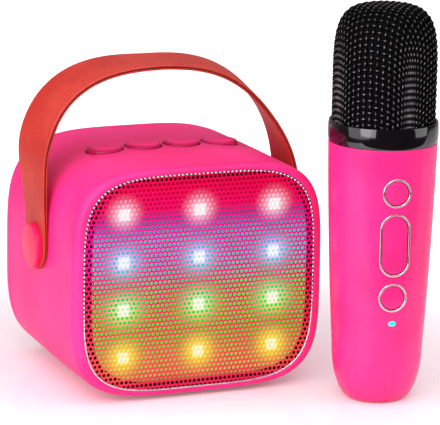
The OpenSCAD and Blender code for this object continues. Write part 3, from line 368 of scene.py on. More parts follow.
def tubes(paths, radius, sides=1, cyclic=False):  # round wires along lists of points
    curve = bpy.data.curves.new("wires", "CURVE")
    curve.dimensions, curve.bevel_depth, curve.bevel_resolution = "3D", radius, sides
    curve.use_fill_caps = not cyclic
    for path in paths:
        spline = curve.splines.new("POLY")
        spline.points.add(len(path) - 1)
        for point, place in zip(spline.points, path):
            point.co = (*place, 1)
        spline.use_cyclic_u = cyclic
    made = bpy.data.objects.new("wires", curve)
    scene.collection.objects.link(made)
    return fromObject(made)


def joined(*parts):
    whole = bmesh.new()
    for part in parts:
        mesh = bpy.data.meshes.new("part")
        part.to_mesh(mesh)
        part.free()
        whole.from_mesh(mesh)
        bpy.data.meshes.remove(mesh)
    return whole


def arc(steps, start=0.0, end=90.0):
    return [math.radians(start + (end - start) * i / steps) for i in range(steps + 1)]


# ---- speaker housing ----
body = {
    "halfWidth": 52.7,
    "halfHeight": 45.9,
    "halfDepth": 44.3,
    "middle": 47.0,  # height of the middle above the table
    "wall": 2.4,
    "squareFront": 4.3,
    "squareBack": 3.8,
    "bulge": 0.3,
    "frontRound": 3.9,
    "frontIn": (3.3, 1.7),
    "backRound": 9.3,
    "backRise": 4.6,  # the same rounding, seen from the side
    "split": 33.0,  # where the rear cover starts
    "trim": (48.6, 43.2),
    "stepBack": -41.3,
    "flangeBack": -38.9,
    "ledge": 3.6,
}
middle = body["middle"]


def squareAt(y):
    return body["squareFront"] + (body["squareBack"] - body["squareFront"]) * (y + body["halfDepth"]) / (2 * body["halfDepth"])


def bodyRing(y, inset=0.0):
    u = max(0.0, (body["frontRound"] - body["halfDepth"] - y) / body["frontRound"])
    front = 1 - math.sqrt(max(0.0, 1 - u * u))
    belly = body["bulge"] * (y / body["halfDepth"]) ** 2
    a = body["halfWidth"] - belly - body["frontIn"][0] * front - inset
    b = body["halfHeight"] - belly - body["frontIn"][1] * front - inset
    return (y, a, b, squareAt(y))


def wallRing(y, inset):
    belly = body["bulge"] * (y / body["halfDepth"]) ** 2
    return (y, body["halfWidth"] - belly - inset, body["halfHeight"] - belly - inset, squareAt(y))


def topAt(x):
    n = squareAt(0)
    return middle + body["halfHeight"] * (1 - (abs(x) / body["halfWidth"]) ** n) ** (1 / n)


pivot = {"y": -4.0, "z": 56.2, "pin": 3.0}
bosses = {"x": 40.0, "z": 34.0, "radius": 4.4}


def makeHousing():
    front, split, wall = -body["halfDepth"], body["split"], body["wall"]
    outer = [bodyRing(front + body["frontRound"] * (1 - math.cos(t))) for t in arc(12)]
    along = [bodyRing(front + body["frontRound"] + (split - 0.35 - front - body["frontRound"]) * i / 14) for i in range(1, 15)]
    square = body["squareFront"]
    a, b = body["trim"]
    inner = [
        wallRing(split - 0.1, 0.22),
        wallRing(split, 0.5),
        wallRing(split, wall),
        wallRing(0, wall),
        wallRing(body["flangeBack"], wall),
        (body["flangeBack"], a - body["ledge"], b - body["ledge"], square),
        (body["stepBack"], a - body["ledge"], b - body["ledge"], square),
        (body["stepBack"], a, b, square),
        (front + 0.2, a, b, square),
        (front, a + 0.12, b + 0.12, square),
    ]
    shell = loftRings(outer + along + inner, middle)
    posts = bmesh.new()
    for sx in (-1, 1):
        for sz in (-1, 1):
            rod(posts, (sx * bosses["x"], split - 15, middle + sz * bosses["z"]), (sx * bosses["x"], split - 0.01, middle + sz * bosses["z"]), bosses["radius"])
        rod(posts, (sx * 34.95, buttons["y"], 81.7), (sx * 34.95, buttons["y"], 88.9), 2.3)
        rod(posts, (sx * 49.1, pivot["y"], pivot["z"]), (sx * 51.5, pivot["y"], pivot["z"]), pivot["pin"] + 4)
        for y in (-7.7, 21.7):
            rod(posts, (sx * 24, y, 2), (sx * 24, y, 7.2), 2.6)
    holes = bmesh.new()
    for x in buttons["x"]:
        rod(holes, (x, buttons["y"], 70), (x, buttons["y"], 100), buttons["radius"] + buttons["gap"], 96)
    for sx in (-1, 1):
        rod(holes, (sx * 44, pivot["y"], pivot["z"]), (sx * 60, pivot["y"], pivot["z"]), pivot["pin"] + 0.05)
        for sz in (-1, 1):
            rod(holes, (sx * bosses["x"], split - 16, middle + sz * bosses["z"]), (sx * bosses["x"], split + 1, middle + sz * bosses["z"]), 1.3, 24)
    shell = carve(shell, posts, "UNION")
    shell = carve(shell, holes)
    return finishPiece("housingShell", shell, "speaker", pinkTop, ["housing_shell"])


makeHousing()
print("housing made")


def makeCover():
    split, back, wall, r = body["split"], body["halfDepth"], body["wall"], body["backRound"]
    outer = [wallRing(split + 0.12, 0.5), wallRing(split + 0.22, 0.22), bodyRing(split + 0.5)]
    for t in arc(14):
        y = back - r * (1 - math.sin(t))
        ring = bodyRing(y)
        rise = body["backRise"]
        u = max(0.0, (y - back + rise) / rise)
        outer.append((y, ring[1] - r * (1 - math.cos(t)), ring[2] - rise * (1 - math.sqrt(max(0.0, 1 - u * u))), ring[3]))
    inner = []
    for t in reversed(arc(8)):
        y = back - r + (r - wall) * math.sin(t)
        inner.append(wallRing(y, wall + (r - wall) * (1 - math.cos(t))))
    inner += [wallRing(split + 0.12, wall + 0.05 + 1.2), wallRing(split - 3, wall + 0.05 + 1.2), wallRing(split - 3, wall + 0.05), wallRing(split + 0.12, wall + 0.05)]
    outerSkin = loftRings(outer + [(back, 4, 4, 2)], middle, close=False, capLast=True)
    innerSkin = loftRings([(back - wall, 4, 4, 2)] + inner, middle, close=False, capFirst=True)
    shell = joined(outerSkin, innerSkin)
    open_ = [e for e in shell.edges if len(e.link_faces) == 1]
    bmesh.ops.bridge_loops(shell, edges=open_)
    bmesh.ops.recalc_face_normals(shell, faces=shell.faces)
    posts = bmesh.new()
    for sx in (-1, 1):
        for sz in (-1, 1):
            rod(posts, (sx * bosses["x"], split + 0.12, middle + sz * bosses["z"]), (sx * bosses["x"], back - 3, middle + sz * bosses["z"]), bosses["radius"])
            rod(posts, (sx * 28.5, 34.6, 50 + sz * 18.5), (sx * 28.5, back - 1.2, 50 + sz * 18.5), 2.6)
    shell = carve(shell, posts, "UNION")
    holes = bmesh.new()
    for sx in (-1, 1):
        for sz in (-1, 1):
            x, z = sx * bosses["x"], middle + sz * bosses["z"]
            rod(holes, (x, split - 4, z), (x, back + 1, z), 1.6, 32)
            rod(holes, (x, split + 3.2, z), (x, back + 2, z), 3.0, 48)
    stadium(holes, 10.8, 5.1, 20, (-17, split, 34))
    rod(holes, (0, split, 34), (0, back + 1, 34), 3.15, 48)
    block(holes, (11.8, split, 33.2), (24.2, back + 1, 34.8))
    rod(holes, (-8.5, split, 34), (-8.5, back + 1, 34), 1.05, 32)
    shell = carve(shell, holes)
    return finishPiece("rearCover", shell, "speaker", pinkSoft, ["rear_cover"])


makeCover()
print("rear cover made")

# ---- lights behind the grille ----
lights = {
    "columns": 31.4,
    "rows": 19.0,
    "lowestRow": 18.5,
    "half": 2.2,  # half width of a lit spot
}


def spotDistance(x, z):  # millimetres from the nearest light, along x and z
    column = (x / lights["columns"]).maths("ROUND", x / lights["columns"])
    column = column.maths("MINIMUM", column.maths("MAXIMUM", column, -1.0), 1.0)
    row = (z - lights["lowestRow"]) / lights["rows"]
    row = row.maths("ROUND", row)
    row = row.maths("MINIMUM", row.maths("MAXIMUM", row, 0.0), 3.0)
    acrossIt = x - column * lights["columns"]
    aboveIt = z - lights["lowestRow"] - row * lights["rows"]
    return acrossIt.maths("ABSOLUTE", acrossIt), aboveIt.maths("ABSOLUTE", aboveIt)


def height(z, *stops):
    return (z / 94.0).ramp(*[(level / 94.0, colour) for level, colour in stops])


def makeGlow():
    made = Finish("lit diffuser film", Roughness=0.8, Specular_IOR_Level=0.0, Emission_Strength=1.0)
    x, y, z = made.axes()
    x, z = x * 1000.0 - 0.95, z * 1000.0 + 0.45  # seen through the holes from the left and above
    dx, dz = spotDistance(x + 0.6, z)
    far = dx * dx + dz * dz
    far = far.maths("SQRT", far)
    field = height(
        z,
        (6.5, paint(110, 20, 30)), (9.5, paint(190, 190, 90)), (16.0, paint(160, 206, 84)), (20.5, paint(120, 210, 76)),
        (24.5, paint(30, 236, 62)), (36.0, paint(10, 244, 66)), (44.0, paint(10, 238, 110)), (51.0, paint(10, 216, 190)),
        (57.0, paint(8, 212, 222)), (65.0, paint(8, 198, 212)), (69.5, paint(24, 140, 186)), (73.0, paint(80, 80, 150)),
        (77.0, paint(206, 10, 70)), (85.5, paint(214, 0, 48)), (88.0, paint(90, 0, 26)),
    )
    tint = height(
        z, (18.5, paint(250, 242, 86)), (26.0, paint(220, 240, 90)), (31.0, paint(130, 242, 120)), (37.5, paint(120, 244, 150)),
        (47.0, paint(120, 236, 220)), (56.5, paint(140, 234, 236)), (66.0, paint(170, 215, 235)), (71.0, paint(226, 200, 226)),
        (75.5, paint(250, 214, 230)),
    )
    centre = height(
        z, (18.5, paint(252, 254, 206)), (28.0, paint(235, 250, 205)), (37.5, paint(214, 250, 206)), (56.5, paint(206, 246, 242)),
        (75.5, paint(250, 252, 249)),
    )
    wide = z.smooth(65.0, 70.0) + z.smooth(31.0, 25.0)  # the first and the last row spread further
    limit = wide * 5.0 + 3.9
    halo = ((limit - far) / (limit - 2.0)).smooth(0.0, 1.0)
    drift = made.place.noise(55.0, 2.0).smooth(0.3, 0.7) * 0.2 + 0.85
    core = dx.maths("MAXIMUM", dx, dz).smooth(lights["half"] + 0.35, lights["half"] - 0.1)
    lit = core.mix(halo.mix(drift.mix(paint(0, 0, 0), field), tint), centre)
    side = (x.maths("ABSOLUTE", x) / 45.0) ** 4.3 + ((z - middle).maths("ABSOLUTE", z - middle - 0.6) / 40.4) ** 4.3
    edge = side.smooth(1.04, 0.97)
    made.set(Base_Color=edge.mix(paint(8, 6, 8), paint(16, 14, 18)), Emission_Color=edge.mix(paint(10, 0, 4), lit))
    return made


grille = {
    "half": (47.8, 42.4),
    "face": -44.0,
    "sheet": 0.25,
    "skirtBack": -41.7,
    "skirt": 0.8,
    "pitch": (1.85, 1.858),
    "start": (-13.875, 45.617),
    "hole": 1.4,
}


def makeGrilleWithPaintedGlow():
    made = Finish("grille sheet with painted glow", Specular_IOR_Level=0.1, Emission_Strength=1.0)
    x, y, z = made.axes()
    x, z = x * 1000.0, z * 1000.0
    dx, dz = spotDistance(x + 0.6, z)
    d2 = dx * dx + dz * dz
    # painted coloured light: the face's paint is tinted by height with the colours of the light rows behind it
    paintTintedByRowLight = height(
        z, (6.0, paint(205, 26, 66)), (12.0, paint(216, 58, 60)), (20.0, paint(216, 64, 62)), (28.0, paint(212, 38, 66)),
        (46.0, paint(212, 8, 84)), (56.0, paint(212, 0, 124)), (68.0, paint(212, 0, 128)), (76.0, paint(216, 0, 92)),
        (88.0, paint(208, 0, 64)),
    )
    spill = height(
        z, (10.0, paint(255, 215, 40)), (18.5, paint(255, 231, 62)), (26.0, paint(240, 236, 90)), (31.0, paint(205, 245, 140)),
        (37.5, paint(195, 255, 170)), (45.0, paint(190, 240, 190)), (50.0, (0.5, 0.75, 1.1, 1)), (56.5, (0.5, 0.8, 1.4, 1)),
        (66.0, (0.6, 0.5, 1.3, 1)), (70.0, paint(240, 200, 235)), (75.5, paint(255, 222, 232)), (84.0, paint(250, 190, 215)),
    )
    centre = height(
        z, (18.5, paint(252, 240, 184)), (28.0, paint(250, 248, 210)), (37.5, paint(250, 252, 228)), (56.5, paint(246, 246, 254)),
        (75.5, paint(253, 238, 241)),
    )
    # painted glow: a halo of light round each light spot on the metal face, given as emission over a darker base colour
    spread = 31.0 + z.smooth(24.0, 32.0) * 5.0 - z.smooth(43.0, 50.0) * 11.0 - z.smooth(62.0, 70.0) * 8.0
    halo = d2 / (0.0 - spread)
    halo = halo.maths("EXPONENT", halo)
    core = dx.maths("MAXIMUM", dx, dz).smooth(lights["half"] + 0.3, lights["half"] - 0.4)
    paintedGlow = halo.mix(paint(60, 0, 26), spill)
    wall = (y * 1000.0 - grille["face"]).smooth(0.015, 0.05)  # inside the holes and behind the front face, painted near black as shade
    row = (z - grille["start"][1]) / grille["pitch"][1]
    rowStep = row.maths("ROUND", row)
    across = (x - grille["start"][0]) / grille["pitch"][0] - rowStep.maths("FLOORED_MODULO", rowStep, 2.0) * 0.5
    du = (across - across.maths("ROUND", across)) * grille["pitch"][0]
    dv = (row - rowStep) * grille["pitch"][1]
    dot = du * du + dv * dv
    dot = dot.maths("SQRT", dot).smooth(0.66, 0.5)  # painted shade: dark dots for holes that are not cut, where the sheet turns back at its edge
    grain = made.place.noise(2400.0, 2.0)
    worn = made.place.noise(70.0, 3.0).smooth(0.4, 0.7)
    made.set(
        Base_Color=dot.maths("MAXIMUM", dot, wall).mix((halo * 0.85).mix((worn * 0.08).mix(paintTintedByRowLight, paint(230, 30, 90)), paint(50, 16, 26)), paint(20, 2, 8)),
        Roughness=0.4 + (grain - 0.5) * 0.1,
        Emission_Color=dot.maths("MAXIMUM", dot, wall).mix(core.mix(paintedGlow, centre), paint(4, 0, 2)),
    )
    made.bump(grain, 0.2, 0.00002)
    return made


glow = makeGlow()
grilleWithPaintedGlow = makeGrilleWithPaintedGlow()


def inField(x, z, margin):
    a, b = grille["half"]
    return (abs(x) / (a - margin)) ** 4.3 + (abs(z - middle) / (b - margin)) ** 4.3 <= 1


def makeGrille():
    px, pz = grille["pitch"]
    x0, z0 = grille["start"]
    bm = bmesh.new()  # one cell: a hole in its share of the sheet, then a row of cells, then the rows
    corners = [bm.verts.new((x, 0, z)) for x, z in ((-px / 2, -pz / 2), (0, -pz / 2), (px / 2, -pz / 2), (px / 2, pz / 2), (0, pz / 2), (-px / 2, pz / 2))]
    rim = [bm.edges.new((corners[i], corners[(i + 1) % 6])) for i in range(6)]
    holeTurn = Matrix.Rotation(math.pi / 2, 4, "X") @ Matrix.Rotation(math.pi / 8, 4, "Z")
    hole = bmesh.ops.create_circle(bm, segments=8, radius=grille["hole"] / 2, matrix=holeTurn)["verts"]
    holeEdges = list({e for v in hole for e in v.link_edges})
    bmesh.ops.triangle_fill(bm, use_beauty=True, edges=rim + holeEdges)
    reachX, reachZ = int(60 / px), int(46 / pz)
    cell = list(bm.faces)
    for step in range(-reachX, reachX + 10):
        copy = bmesh.ops.duplicate(bm, geom=cell + list({e for f in cell for e in f.edges} | {v for f in cell for v in f.verts}))["geom"]
        bmesh.ops.translate(bm, vec=(x0 + step * px, 0, 0), verts=[g for g in copy if isinstance(g, bmesh.types.BMVert)])
    bmesh.ops.delete(bm, geom=list({v for f in cell for v in f.verts}), context="VERTS")
    row = list(bm.verts) + list(bm.edges) + list(bm.faces)
    for step in range(-reachZ, reachZ + 1):
        copy = bmesh.ops.duplicate(bm, geom=row)["geom"]
        shift = (px / 2 if step % 2 else 0, grille["face"], z0 + step * pz)
        bmesh.ops.translate(bm, vec=shift, verts=[g for g in copy if isinstance(g, bmesh.types.BMVert)])
    bmesh.ops.delete(bm, geom=[g for g in row if isinstance(g, bmesh.types.BMVert)], context="VERTS")
    gone, edgeHoles = [], set()
    for face in bm.faces:  # a cell goes as a whole, by the place of its hole; a hole near the edge stays
        spot = face.calc_center_median()
        j = round((spot.z - z0) / pz)
        offset = px / 2 if j % 2 else 0
        x = x0 + offset + round((spot.x - x0 - offset) / px) * px
        z = z0 + j * pz
        if not all(inField(x + sx * px / 2, z + sz * pz / 2, 0.12) for sx in (-1, 1) for sz in (-1, 1)):
            gone.append(face)
            if inField(x, z, grille["hole"] / 2 + 0.12):
                edgeHoles.add((x, z))
    bmesh.ops.delete(bm, geom=gone, context="FACES")
    bmesh.ops.remove_doubles(bm, verts=bm.verts, dist=0.02)
    edges = [e for e in bm.edges if len(e.link_faces) == 1]
    staircase = [e for e in edges if (e.verts[0].co - e.verts[1].co).length > 0.6]
    ring = bmesh.ops.create_circle(bm, segments=256, radius=1, matrix=Matrix.Translation((0, 0, middle)) @ Matrix.Rotation(math.pi / 2, 4, "X"))["verts"]
    placeRing(ring, grille["face"], *grille["half"], body["squareFront"], middle)
    outline = list({e for v in ring for e in v.link_edges})
    for x, z in edgeHoles:
        spot = Matrix.Translation((x, grille["face"], z)) @ holeTurn
        made = bmesh.ops.create_circle(bm, segments=8, radius=grille["hole"] / 2, matrix=spot)["verts"]
        outline += list({e for v in made for e in v.link_edges})
    bmesh.ops.triangle_fill(bm, use_beauty=True, edges=staircase + outline)
    bmesh.ops.recalc_face_normals(bm, faces=bm.faces)
    faces = list(bm.faces)
    if faces[0].normal.y > 0:
        bmesh.ops.reverse_faces(bm, faces=faces)
    print("grille holes:", (len(edges) - len(staircase)) // 8 + len(edgeHoles))
    grown = bmesh.ops.extrude_face_region(bm, geom=faces)["geom"]
    bmesh.ops.translate(bm, vec=(0, grille["sheet"], 0), verts=[g for g in grown if isinstance(g, bmesh.types.BMVert)])
    bmesh.ops.recalc_face_normals(bm, faces=bm.faces)
    a, b = grille["half"]
    square = body["squareFront"]
    start = grille["face"] + grille["sheet"] - 0.05
    skirt = loftRings([(start, a, b, square), (grille["skirtBack"], a, b, square), (grille["skirtBack"], a - grille["skirt"], b - grille["skirt"], square), (start, a - grille["skirt"], b - grille["skirt"], square)], middle)
    return finishPiece("grilleSheet", joined(bm, skirt), "speaker", grilleWithPaintedGlow, ["grille"], crease=25)


makeGrille()


def makeDiffuser():
    rings = [(-41.7, 48.3, 42.9, 4.3), (-41.3, 48.3, 42.9, 4.3)]
    bm = loftRings(rings, middle, close=False, capFirst=True, capLast=True)
    return finishPiece("diffuserFilm", bm, "speaker", glow, ["light_diffuser"])


makeDiffuser()
print("grille and lights made")

trim = {"outer": (48.55, 43.15), "face": 0.72, "front": -44.4, "back": -41.7, "beads": 186, "depth": 0.6}


def makeTrimMetal():
    made = Finish("bright beaded trim", Metallic=1.0)
    streak = made.place.noise(300.0, 3.0)
    deep = (made.axes()[1] * 1000.0).smooth(-44.3, -43.9)  # the notches between the beads are rougher, and painted dark crimson as shade
    bright = streak.smooth(0.3, 0.7).mix(paint(216, 212, 218), paint(250, 248, 250))
    made.set(Base_Color=(deep * 0.8).mix(bright, paint(60, 14, 34)), Roughness=0.14 + streak * 0.1 + deep * 0.2)
    made.bump(streak, 0.1, 0.00002)
    return made


trimMetal = makeTrimMetal()


def makeTrim():
    a, b = trim["outer"]
    w, front, square = trim["face"], trim["front"], body["squareFront"]
    rings = [(trim["back"], a, b, square), (front + 0.45, a, b, square)]
    for t in arc(6, 0, 180):
        rings.append((front + 0.45 - 0.45 * math.sin(t), a - w / 2 + w / 2 * math.cos(t), b - w / 2 + w / 2 * math.cos(t), square))
    rings.append((trim["back"], a - w, b - w, square))
    count = trim["beads"] * 8
    bm = loftRings(rings, middle, segments=count)
    angles = np.linspace(0, math.tau, 4001)
    sizes = np.array([reach(t, a, b, square) for t in angles])
    steps = np.hypot(np.diff(sizes * np.cos(angles)), np.diff(sizes * np.sin(angles)))
    lengths = np.concatenate(([0.0], np.cumsum(steps)))
    for vert in bm.verts:  # evenly spaced round the ring, with a row of beads pressed into the face
        x, z = vert.co.x, vert.co.z - middle
        old = math.atan2(z, x) % math.tau
        share = round(old / math.tau * count) % count
        new = float(np.interp(share / count * lengths[-1], lengths, angles))
        scale = math.hypot(x, z) / reach(old, a, b, square) * reach(new, a, b, square)
        wave = (0.5 - 0.5 * math.cos(math.tau * share / 8)) ** 2
        high = min(1.0, max(0.0, (front + 0.44 - vert.co.y) / 0.2))
        upper = min(1.0, max(0.15, (middle + z * 1.0 - 24) / 16))
        vert.co = (scale * math.cos(new), vert.co.y + trim["depth"] * wave * high * upper, middle + scale * math.sin(new))
    return finishPiece("trimRing", bm, "speaker", trimMetal, ["trim_ring"], crease=50)


makeTrim()
print("trim made")


# ---- top buttons ----
def raisedSign(bm, kind, top):
    signs = {  # bars as (x, y, length, width), triangles as (x, y, size, direction)
        0: [("bar", -2.0, 0, 0.5, 3.2), ("tri", -0.4, 0, 1.7, -1), ("tri", 1.6, 0, 1.7, -1)],
        1: [("tri", -1.4, 0, 2.0, 1), ("bar", 1.0, 0, 0.55, 3.2), ("bar", 2.2, 0, 0.55, 3.2)],
        2: [("tri", -1.6, 0, 1.7, 1), ("tri", 0.4, 0, 1.7, 1), ("bar", 2.0, 0, 0.5, 3.2)],
        3: [("ring", 0, 0, 1.5, 0), ("ray", 0, 0, 2.3, 0)],
    }
    for form, x, y, size, extra in signs[kind]:
        if form == "bar":
            block(bm, (x - size / 2, y - extra / 2, top - 0.3), (x + size / 2, y + extra / 2, top + 0.14))
        elif form == "tri":
            bmesh.ops.create_cone(bm, cap_ends=True, segments=3, radius1=size, radius2=size, depth=0.44, matrix=Matrix.Translation((x, y, top - 0.08)) @ Matrix.Rotation(0 if extra > 0 else math.pi, 4, "Z"))
        elif form == "ring":
            bmesh.ops.create_cone(bm, cap_ends=True, segments=24, radius1=size, radius2=size, depth=0.44, matrix=Matrix.Translation((x, y, top - 0.08)))
        else:
            for i in range(8):
                spot = Matrix.Rotation(math.tau * i / 8, 4, "Z") @ Matrix.Translation((size + 0.4, 0, top - 0.08))
                bmesh.ops.create_cube(bm, size=1, matrix=spot @ Matrix.Diagonal((1.0, 0.4, 0.44, 1)))


def makeTopButton(i):
    x, r = buttons["x"][i], buttons["radius"]
    top = topAt(x) + buttons["rise"]
    flange = 90.0
    low, high = (v / milli for v in (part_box(f"top_button_{i + 1}")[0].z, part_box(f"top_button_{i + 1}")[1].z))
    top = high
    edge = [(r - buttons["edge"] * (1 - math.cos(t)), top - buttons["crown"] * (1 - math.sin(t))) for t in arc(8)]
    flange = low + 1.1 + 0.8
    profile = [(0, low), (1.8, low), (1.8, low + 1.1), (r + 0.6, low + 1.1), (r + 0.6, flange), (r, flange)] + edge + [(0, top)]
    bm = lathe(profile, 96)
    sign = bmesh.new()
    raisedSign(sign, i, top - 0.06)
    bm = joined(bm, sign)
    bm.transform(Matrix.Translation((x, buttons["y"], 0)))
    return finishPiece(f"topButton{i + 1}", bm, f"top_button_{i + 1}", pinkTop, [f"top_button_{i + 1}"])


for i in range(4):
    makeTopButton(i)
print("top buttons made")

# ---- strap ----
strap = {
    "width": 23.0,
    "outer": 1.1,
    "lining": 0.9,
    "inner": 53.0,  # half the distance between the inner faces
    "rise": 72.5,
    "straight": 12.0,
    "square": 2.55,
    "sway": 4.0,
    "lean": 2.5,
    "steps": 160,
    "short": 1.9,  # the round end stops this much nearer to the pin than half its width
    "flare": (10.5, 66, 128, 0.62),  # most degrees, the distances from the end between which some of them go, and how much goes
    "flareStart": ((30, 64), (22, 58)),  # where they come, on the right and on the left
    "driftStart": ((40, 80), (28, 52)),
    "pressed": 0.3,  # how much thinner the strap is under its knobs
    "drift": 1.6,  # the arch leans this much to the left
    "sag": 1.1,
}


def strapPath(t):  # the lining's inner face: sideways place and height above the pivot, right foot to left foot
    u = max(0.0, math.sin(t)) ** (2 / strap["square"])
    height_ = strap["rise"] - strap["lining"] - strap["outer"] - strap["straight"]
    smooth = u * u * (3 - 2 * u)
    return Vector((strap["inner"] * signedPower(math.cos(t), 2 / strap["square"]) - strap["sway"] * smooth, strap["straight"] + height_ * u))


def strapLine():  # evenly spaced points from one end to the other, with the way out of the strap at each
    below = strap["width"] / 2 - strap["short"]
    count = int((below + strap["straight"]) / 0.5)
    raw = [Vector((strap["inner"], -below + 0.01 + i * 0.5)) for i in range(count)]
    raw += [strapPath(math.pi * i / 1200) for i in range(1201)]
    raw += [Vector((-p.x, p.y)) for p in reversed(raw[:count])]
    lengths = [0.0]
    for p, q in zip(raw, raw[1:]):
        lengths.append(lengths[-1] + (q - p).length)
    return raw, lengths


strapRaw, strapLengths = strapLine()
strapTotal = strapLengths[-1]
strapX, strapZ = (np.array(column) for column in zip(*strapRaw))
strapLengths = np.array(strapLengths)


def strapAt(distance):
    return Vector((float(np.interp(distance, strapLengths, column)) for column in (strapX, strapZ)))


def eased(value, start, end):
    share = min(1.0, max(0.0, (value - start) / (end - start)))
    return share * share * (3 - 2 * share)


def strapSpot(distance, across, out):  # a point of the strap: along it, across its width and out of its inner face
    here = strapAt(distance)
    ahead = strapAt(min(distance + 1.5, strapTotal)) - strapAt(max(distance - 1.5, 0.0))
    ahead.normalize()
    fromEnd = min(distance, strapTotal - distance)
    onLeft = distance > strapTotal / 2
    most, *stops, going = strap["flare"]
    tilt = most * eased(fromEnd, *strap["flareStart"][onLeft]) * (1 - going * eased(fromEnd, *stops))
    out *= 1 - strap["pressed"] * (1 - eased(fromEnd, 16, 34))
    place = here + Vector((ahead.y, -ahead.x)) * (out + math.tan(math.radians(tilt)) * across)
    flat = Vector((place.x - strap["drift"] * eased(fromEnd, *strap["driftStart"][onLeft]), across, place.y - strap["sag"] * eased(fromEnd, 60, 110)))
    turned = Matrix.Rotation(math.radians(strap["lean"]), 4, "X").inverted() @ flat
    return turned + Vector((0, pivot["y"], pivot["z"]))


def makeBand(name, low, high, finish, replaced, widen, puff):
    half = strap["width"] / 2 + widen
    bm = bmesh.new()
    lengths = [half * (1 - math.cos(t)) - widen for t in arc(14)]
    count = strap["steps"]
    lengths += [half - widen + (strapTotal - 2 * (half - widen)) * i / count for i in range(1, count)]
    lengths += [strapTotal - d for d in reversed(lengths[:15])]
    shares = [0, 0.018, 0.045, 0.09, 0.3, 0.5, 0.7, 0.91, 0.955, 0.982, 1]
    bmesh.ops.create_grid(bm, x_segments=len(lengths) - 1, y_segments=len(shares) - 1, size=0.5)
    bm.verts.ensure_lookup_table()
    faces = list(bm.faces)
    grown = bmesh.ops.extrude_face_region(bm, geom=faces)["geom"]
    topVerts = {g for g in grown if isinstance(g, bmesh.types.BMVert)}
    for vert in bm.verts:
        along = lengths[round((vert.co.x + 0.5) * (len(lengths) - 1))]
        share = shares[round((vert.co.y + 0.5) * (len(shares) - 1))]
        fromEnd = min(along, strapTotal - along) + widen
        reachHalf = half if fromEnd >= half else math.sqrt(max(0.0, half * half - (half - fromEnd) ** 2))
        across = (2 * share - 1) * reachHalf
        rim = min(reachHalf - abs(across), fromEnd)
        round_ = 1 - math.sqrt(max(0.0, 1 - (1 - min(rim, puff) / puff) ** 2)) if puff else 0
        mid, thick = (low + high) / 2, (high - low) / 2
        out = mid + (thick - round_ * thick * 0.85) * (1 if vert in topVerts else -1)
        vert.co = strapSpot(along, across, out)
    bmesh.ops.remove_doubles(bm, verts=bm.verts, dist=1e-3)
    bmesh.ops.recalc_face_normals(bm, faces=bm.faces)
    pins = bmesh.new()
    rod(pins, (-70, pivot["y"], pivot["z"]), (70, pivot["y"], pivot["z"]), pivot["pin"] + 0.05)
    bm = carve(bm, pins)
    return finishPiece(name, bm, "strap", finish, replaced, crease=45)


def makeLeather(name, dark, light, deep, grainScale):
    made = Finish(name, Specular_IOR_Level=0.3, Sheen_Weight=0.03, Sheen_Roughness=0.4)
    pores = made.place.cells(grainScale)
    creases = made.place.cells(grainScale * 0.45, "DISTANCE_TO_EDGE")
    patches = made.place.noise(45.0, 5.0, 0.6)
    tone = patches.smooth(0.35, 0.65).mix(dark, light)
    made.set(
        Base_Color=(creases.smooth(0.08, 0.0) * 0.35).mix(tone, deep),
        Roughness=0.5 + (patches - 0.5) * 0.2,
    )
    made.bump(pores * -0.5 + creases.smooth(0.0, 0.12) * 0.6, 0.35, 0.00008)
    return made


leather = makeLeather("coral leather", paint(184, 44, 34), paint(198, 58, 46), paint(120, 24, 16), 1500.0)
liningLeather = makeLeather("red lining", paint(180, 38, 26), paint(200, 52, 38), paint(110, 12, 12), 1900.0)
glueEdge = mottled("dark glued edge", paint(66, 14, 8), paint(88, 24, 10), 200.0, 1500.0, 0.6)
makeBand("strapOuter", 1.06, 2.0, leather, ["strap_outer"], 0.0, 0.35)
makeBand("strapSeam", 0.84, 1.1, glueEdge, [], -0.12, 0.0)
makeBand("strapLining", 0.0, 0.88, liningLeather, ["strap_lining"], 0.0, 0.25)
print("strap made")

knob = {"radius": 9.1, "seat": 54.43, "rise": 2.4, "dome": 0.4, "edge": 0.8, "inner": 47.1}


def makeKnob(name, side, node):
    r, seat = knob["radius"], knob["seat"]
    top = seat + knob["rise"]
    edge = [(r - 1.0 * (1 - math.cos(t)), top - knob["edge"] * (1 - math.sin(t))) for t in arc(8)]
    face = [((r - 1.0) * s, top + knob["dome"] * (1 - s * s)) for s in (0.85, 0.65, 0.4, 0.2, 0.0)]
    profile = [(0, knob["inner"]), (2.7, knob["inner"]), (3.0, knob["inner"] + 0.3), (3.0, seat), (r - 0.2, seat), (r, seat + 0.2)] + edge + face
    bm = lathe(profile, 96)
    bm.transform(Matrix.Translation((0, pivot["y"], pivot["z"])) @ Matrix.Rotation(side * math.pi / 2, 4, "Y"))
    return finishPiece(name, bm, "speaker", pinkDeep, [node])


makeKnob("strapKnobLeft", -1, "strap_knob_left")
makeKnob("strapKnobRight", 1, "strap_knob_right")
print("knobs made")

# ---- microphone ----
mic = {
    "place": (66.6, -65.8),
    "turn": -9.0,
    "baseR": 9.8,
    "lowR": 17.8,
    "topR": 21.3,
    "grip": 103.1,
    "foot": 20.5,
    "belly": 0.42,
    "wall": 2.2,
    "collar": 8.3,
    "collarR": 21.5,
    "headR": 20.4,
    "head": 45.4,
    "dome": 31.2,
    "domeSquare": 4.0,
}
standMic = Matrix.Translation((*mic["place"], 0)) @ Matrix.Rotation(math.radians(mic["turn"]), 4, "Z")


def gripR(z):
    s = (z - mic["foot"]) / (mic["grip"] - mic["foot"])
    return mic["lowR"] + (mic["topR"] - mic["lowR"]) * s + mic["belly"] * 4 * s * (1 - s)


def faceAt(z):
    return gripR(z) + 0.35


micKeys = {"power": 86.4, "volume": 65.7, "mode": 44.7, "light": 34.2, "round": 5.7, "long": (12.2, 25.0), "face": 0.8, "depth": 3.0, "drop": 0.25}


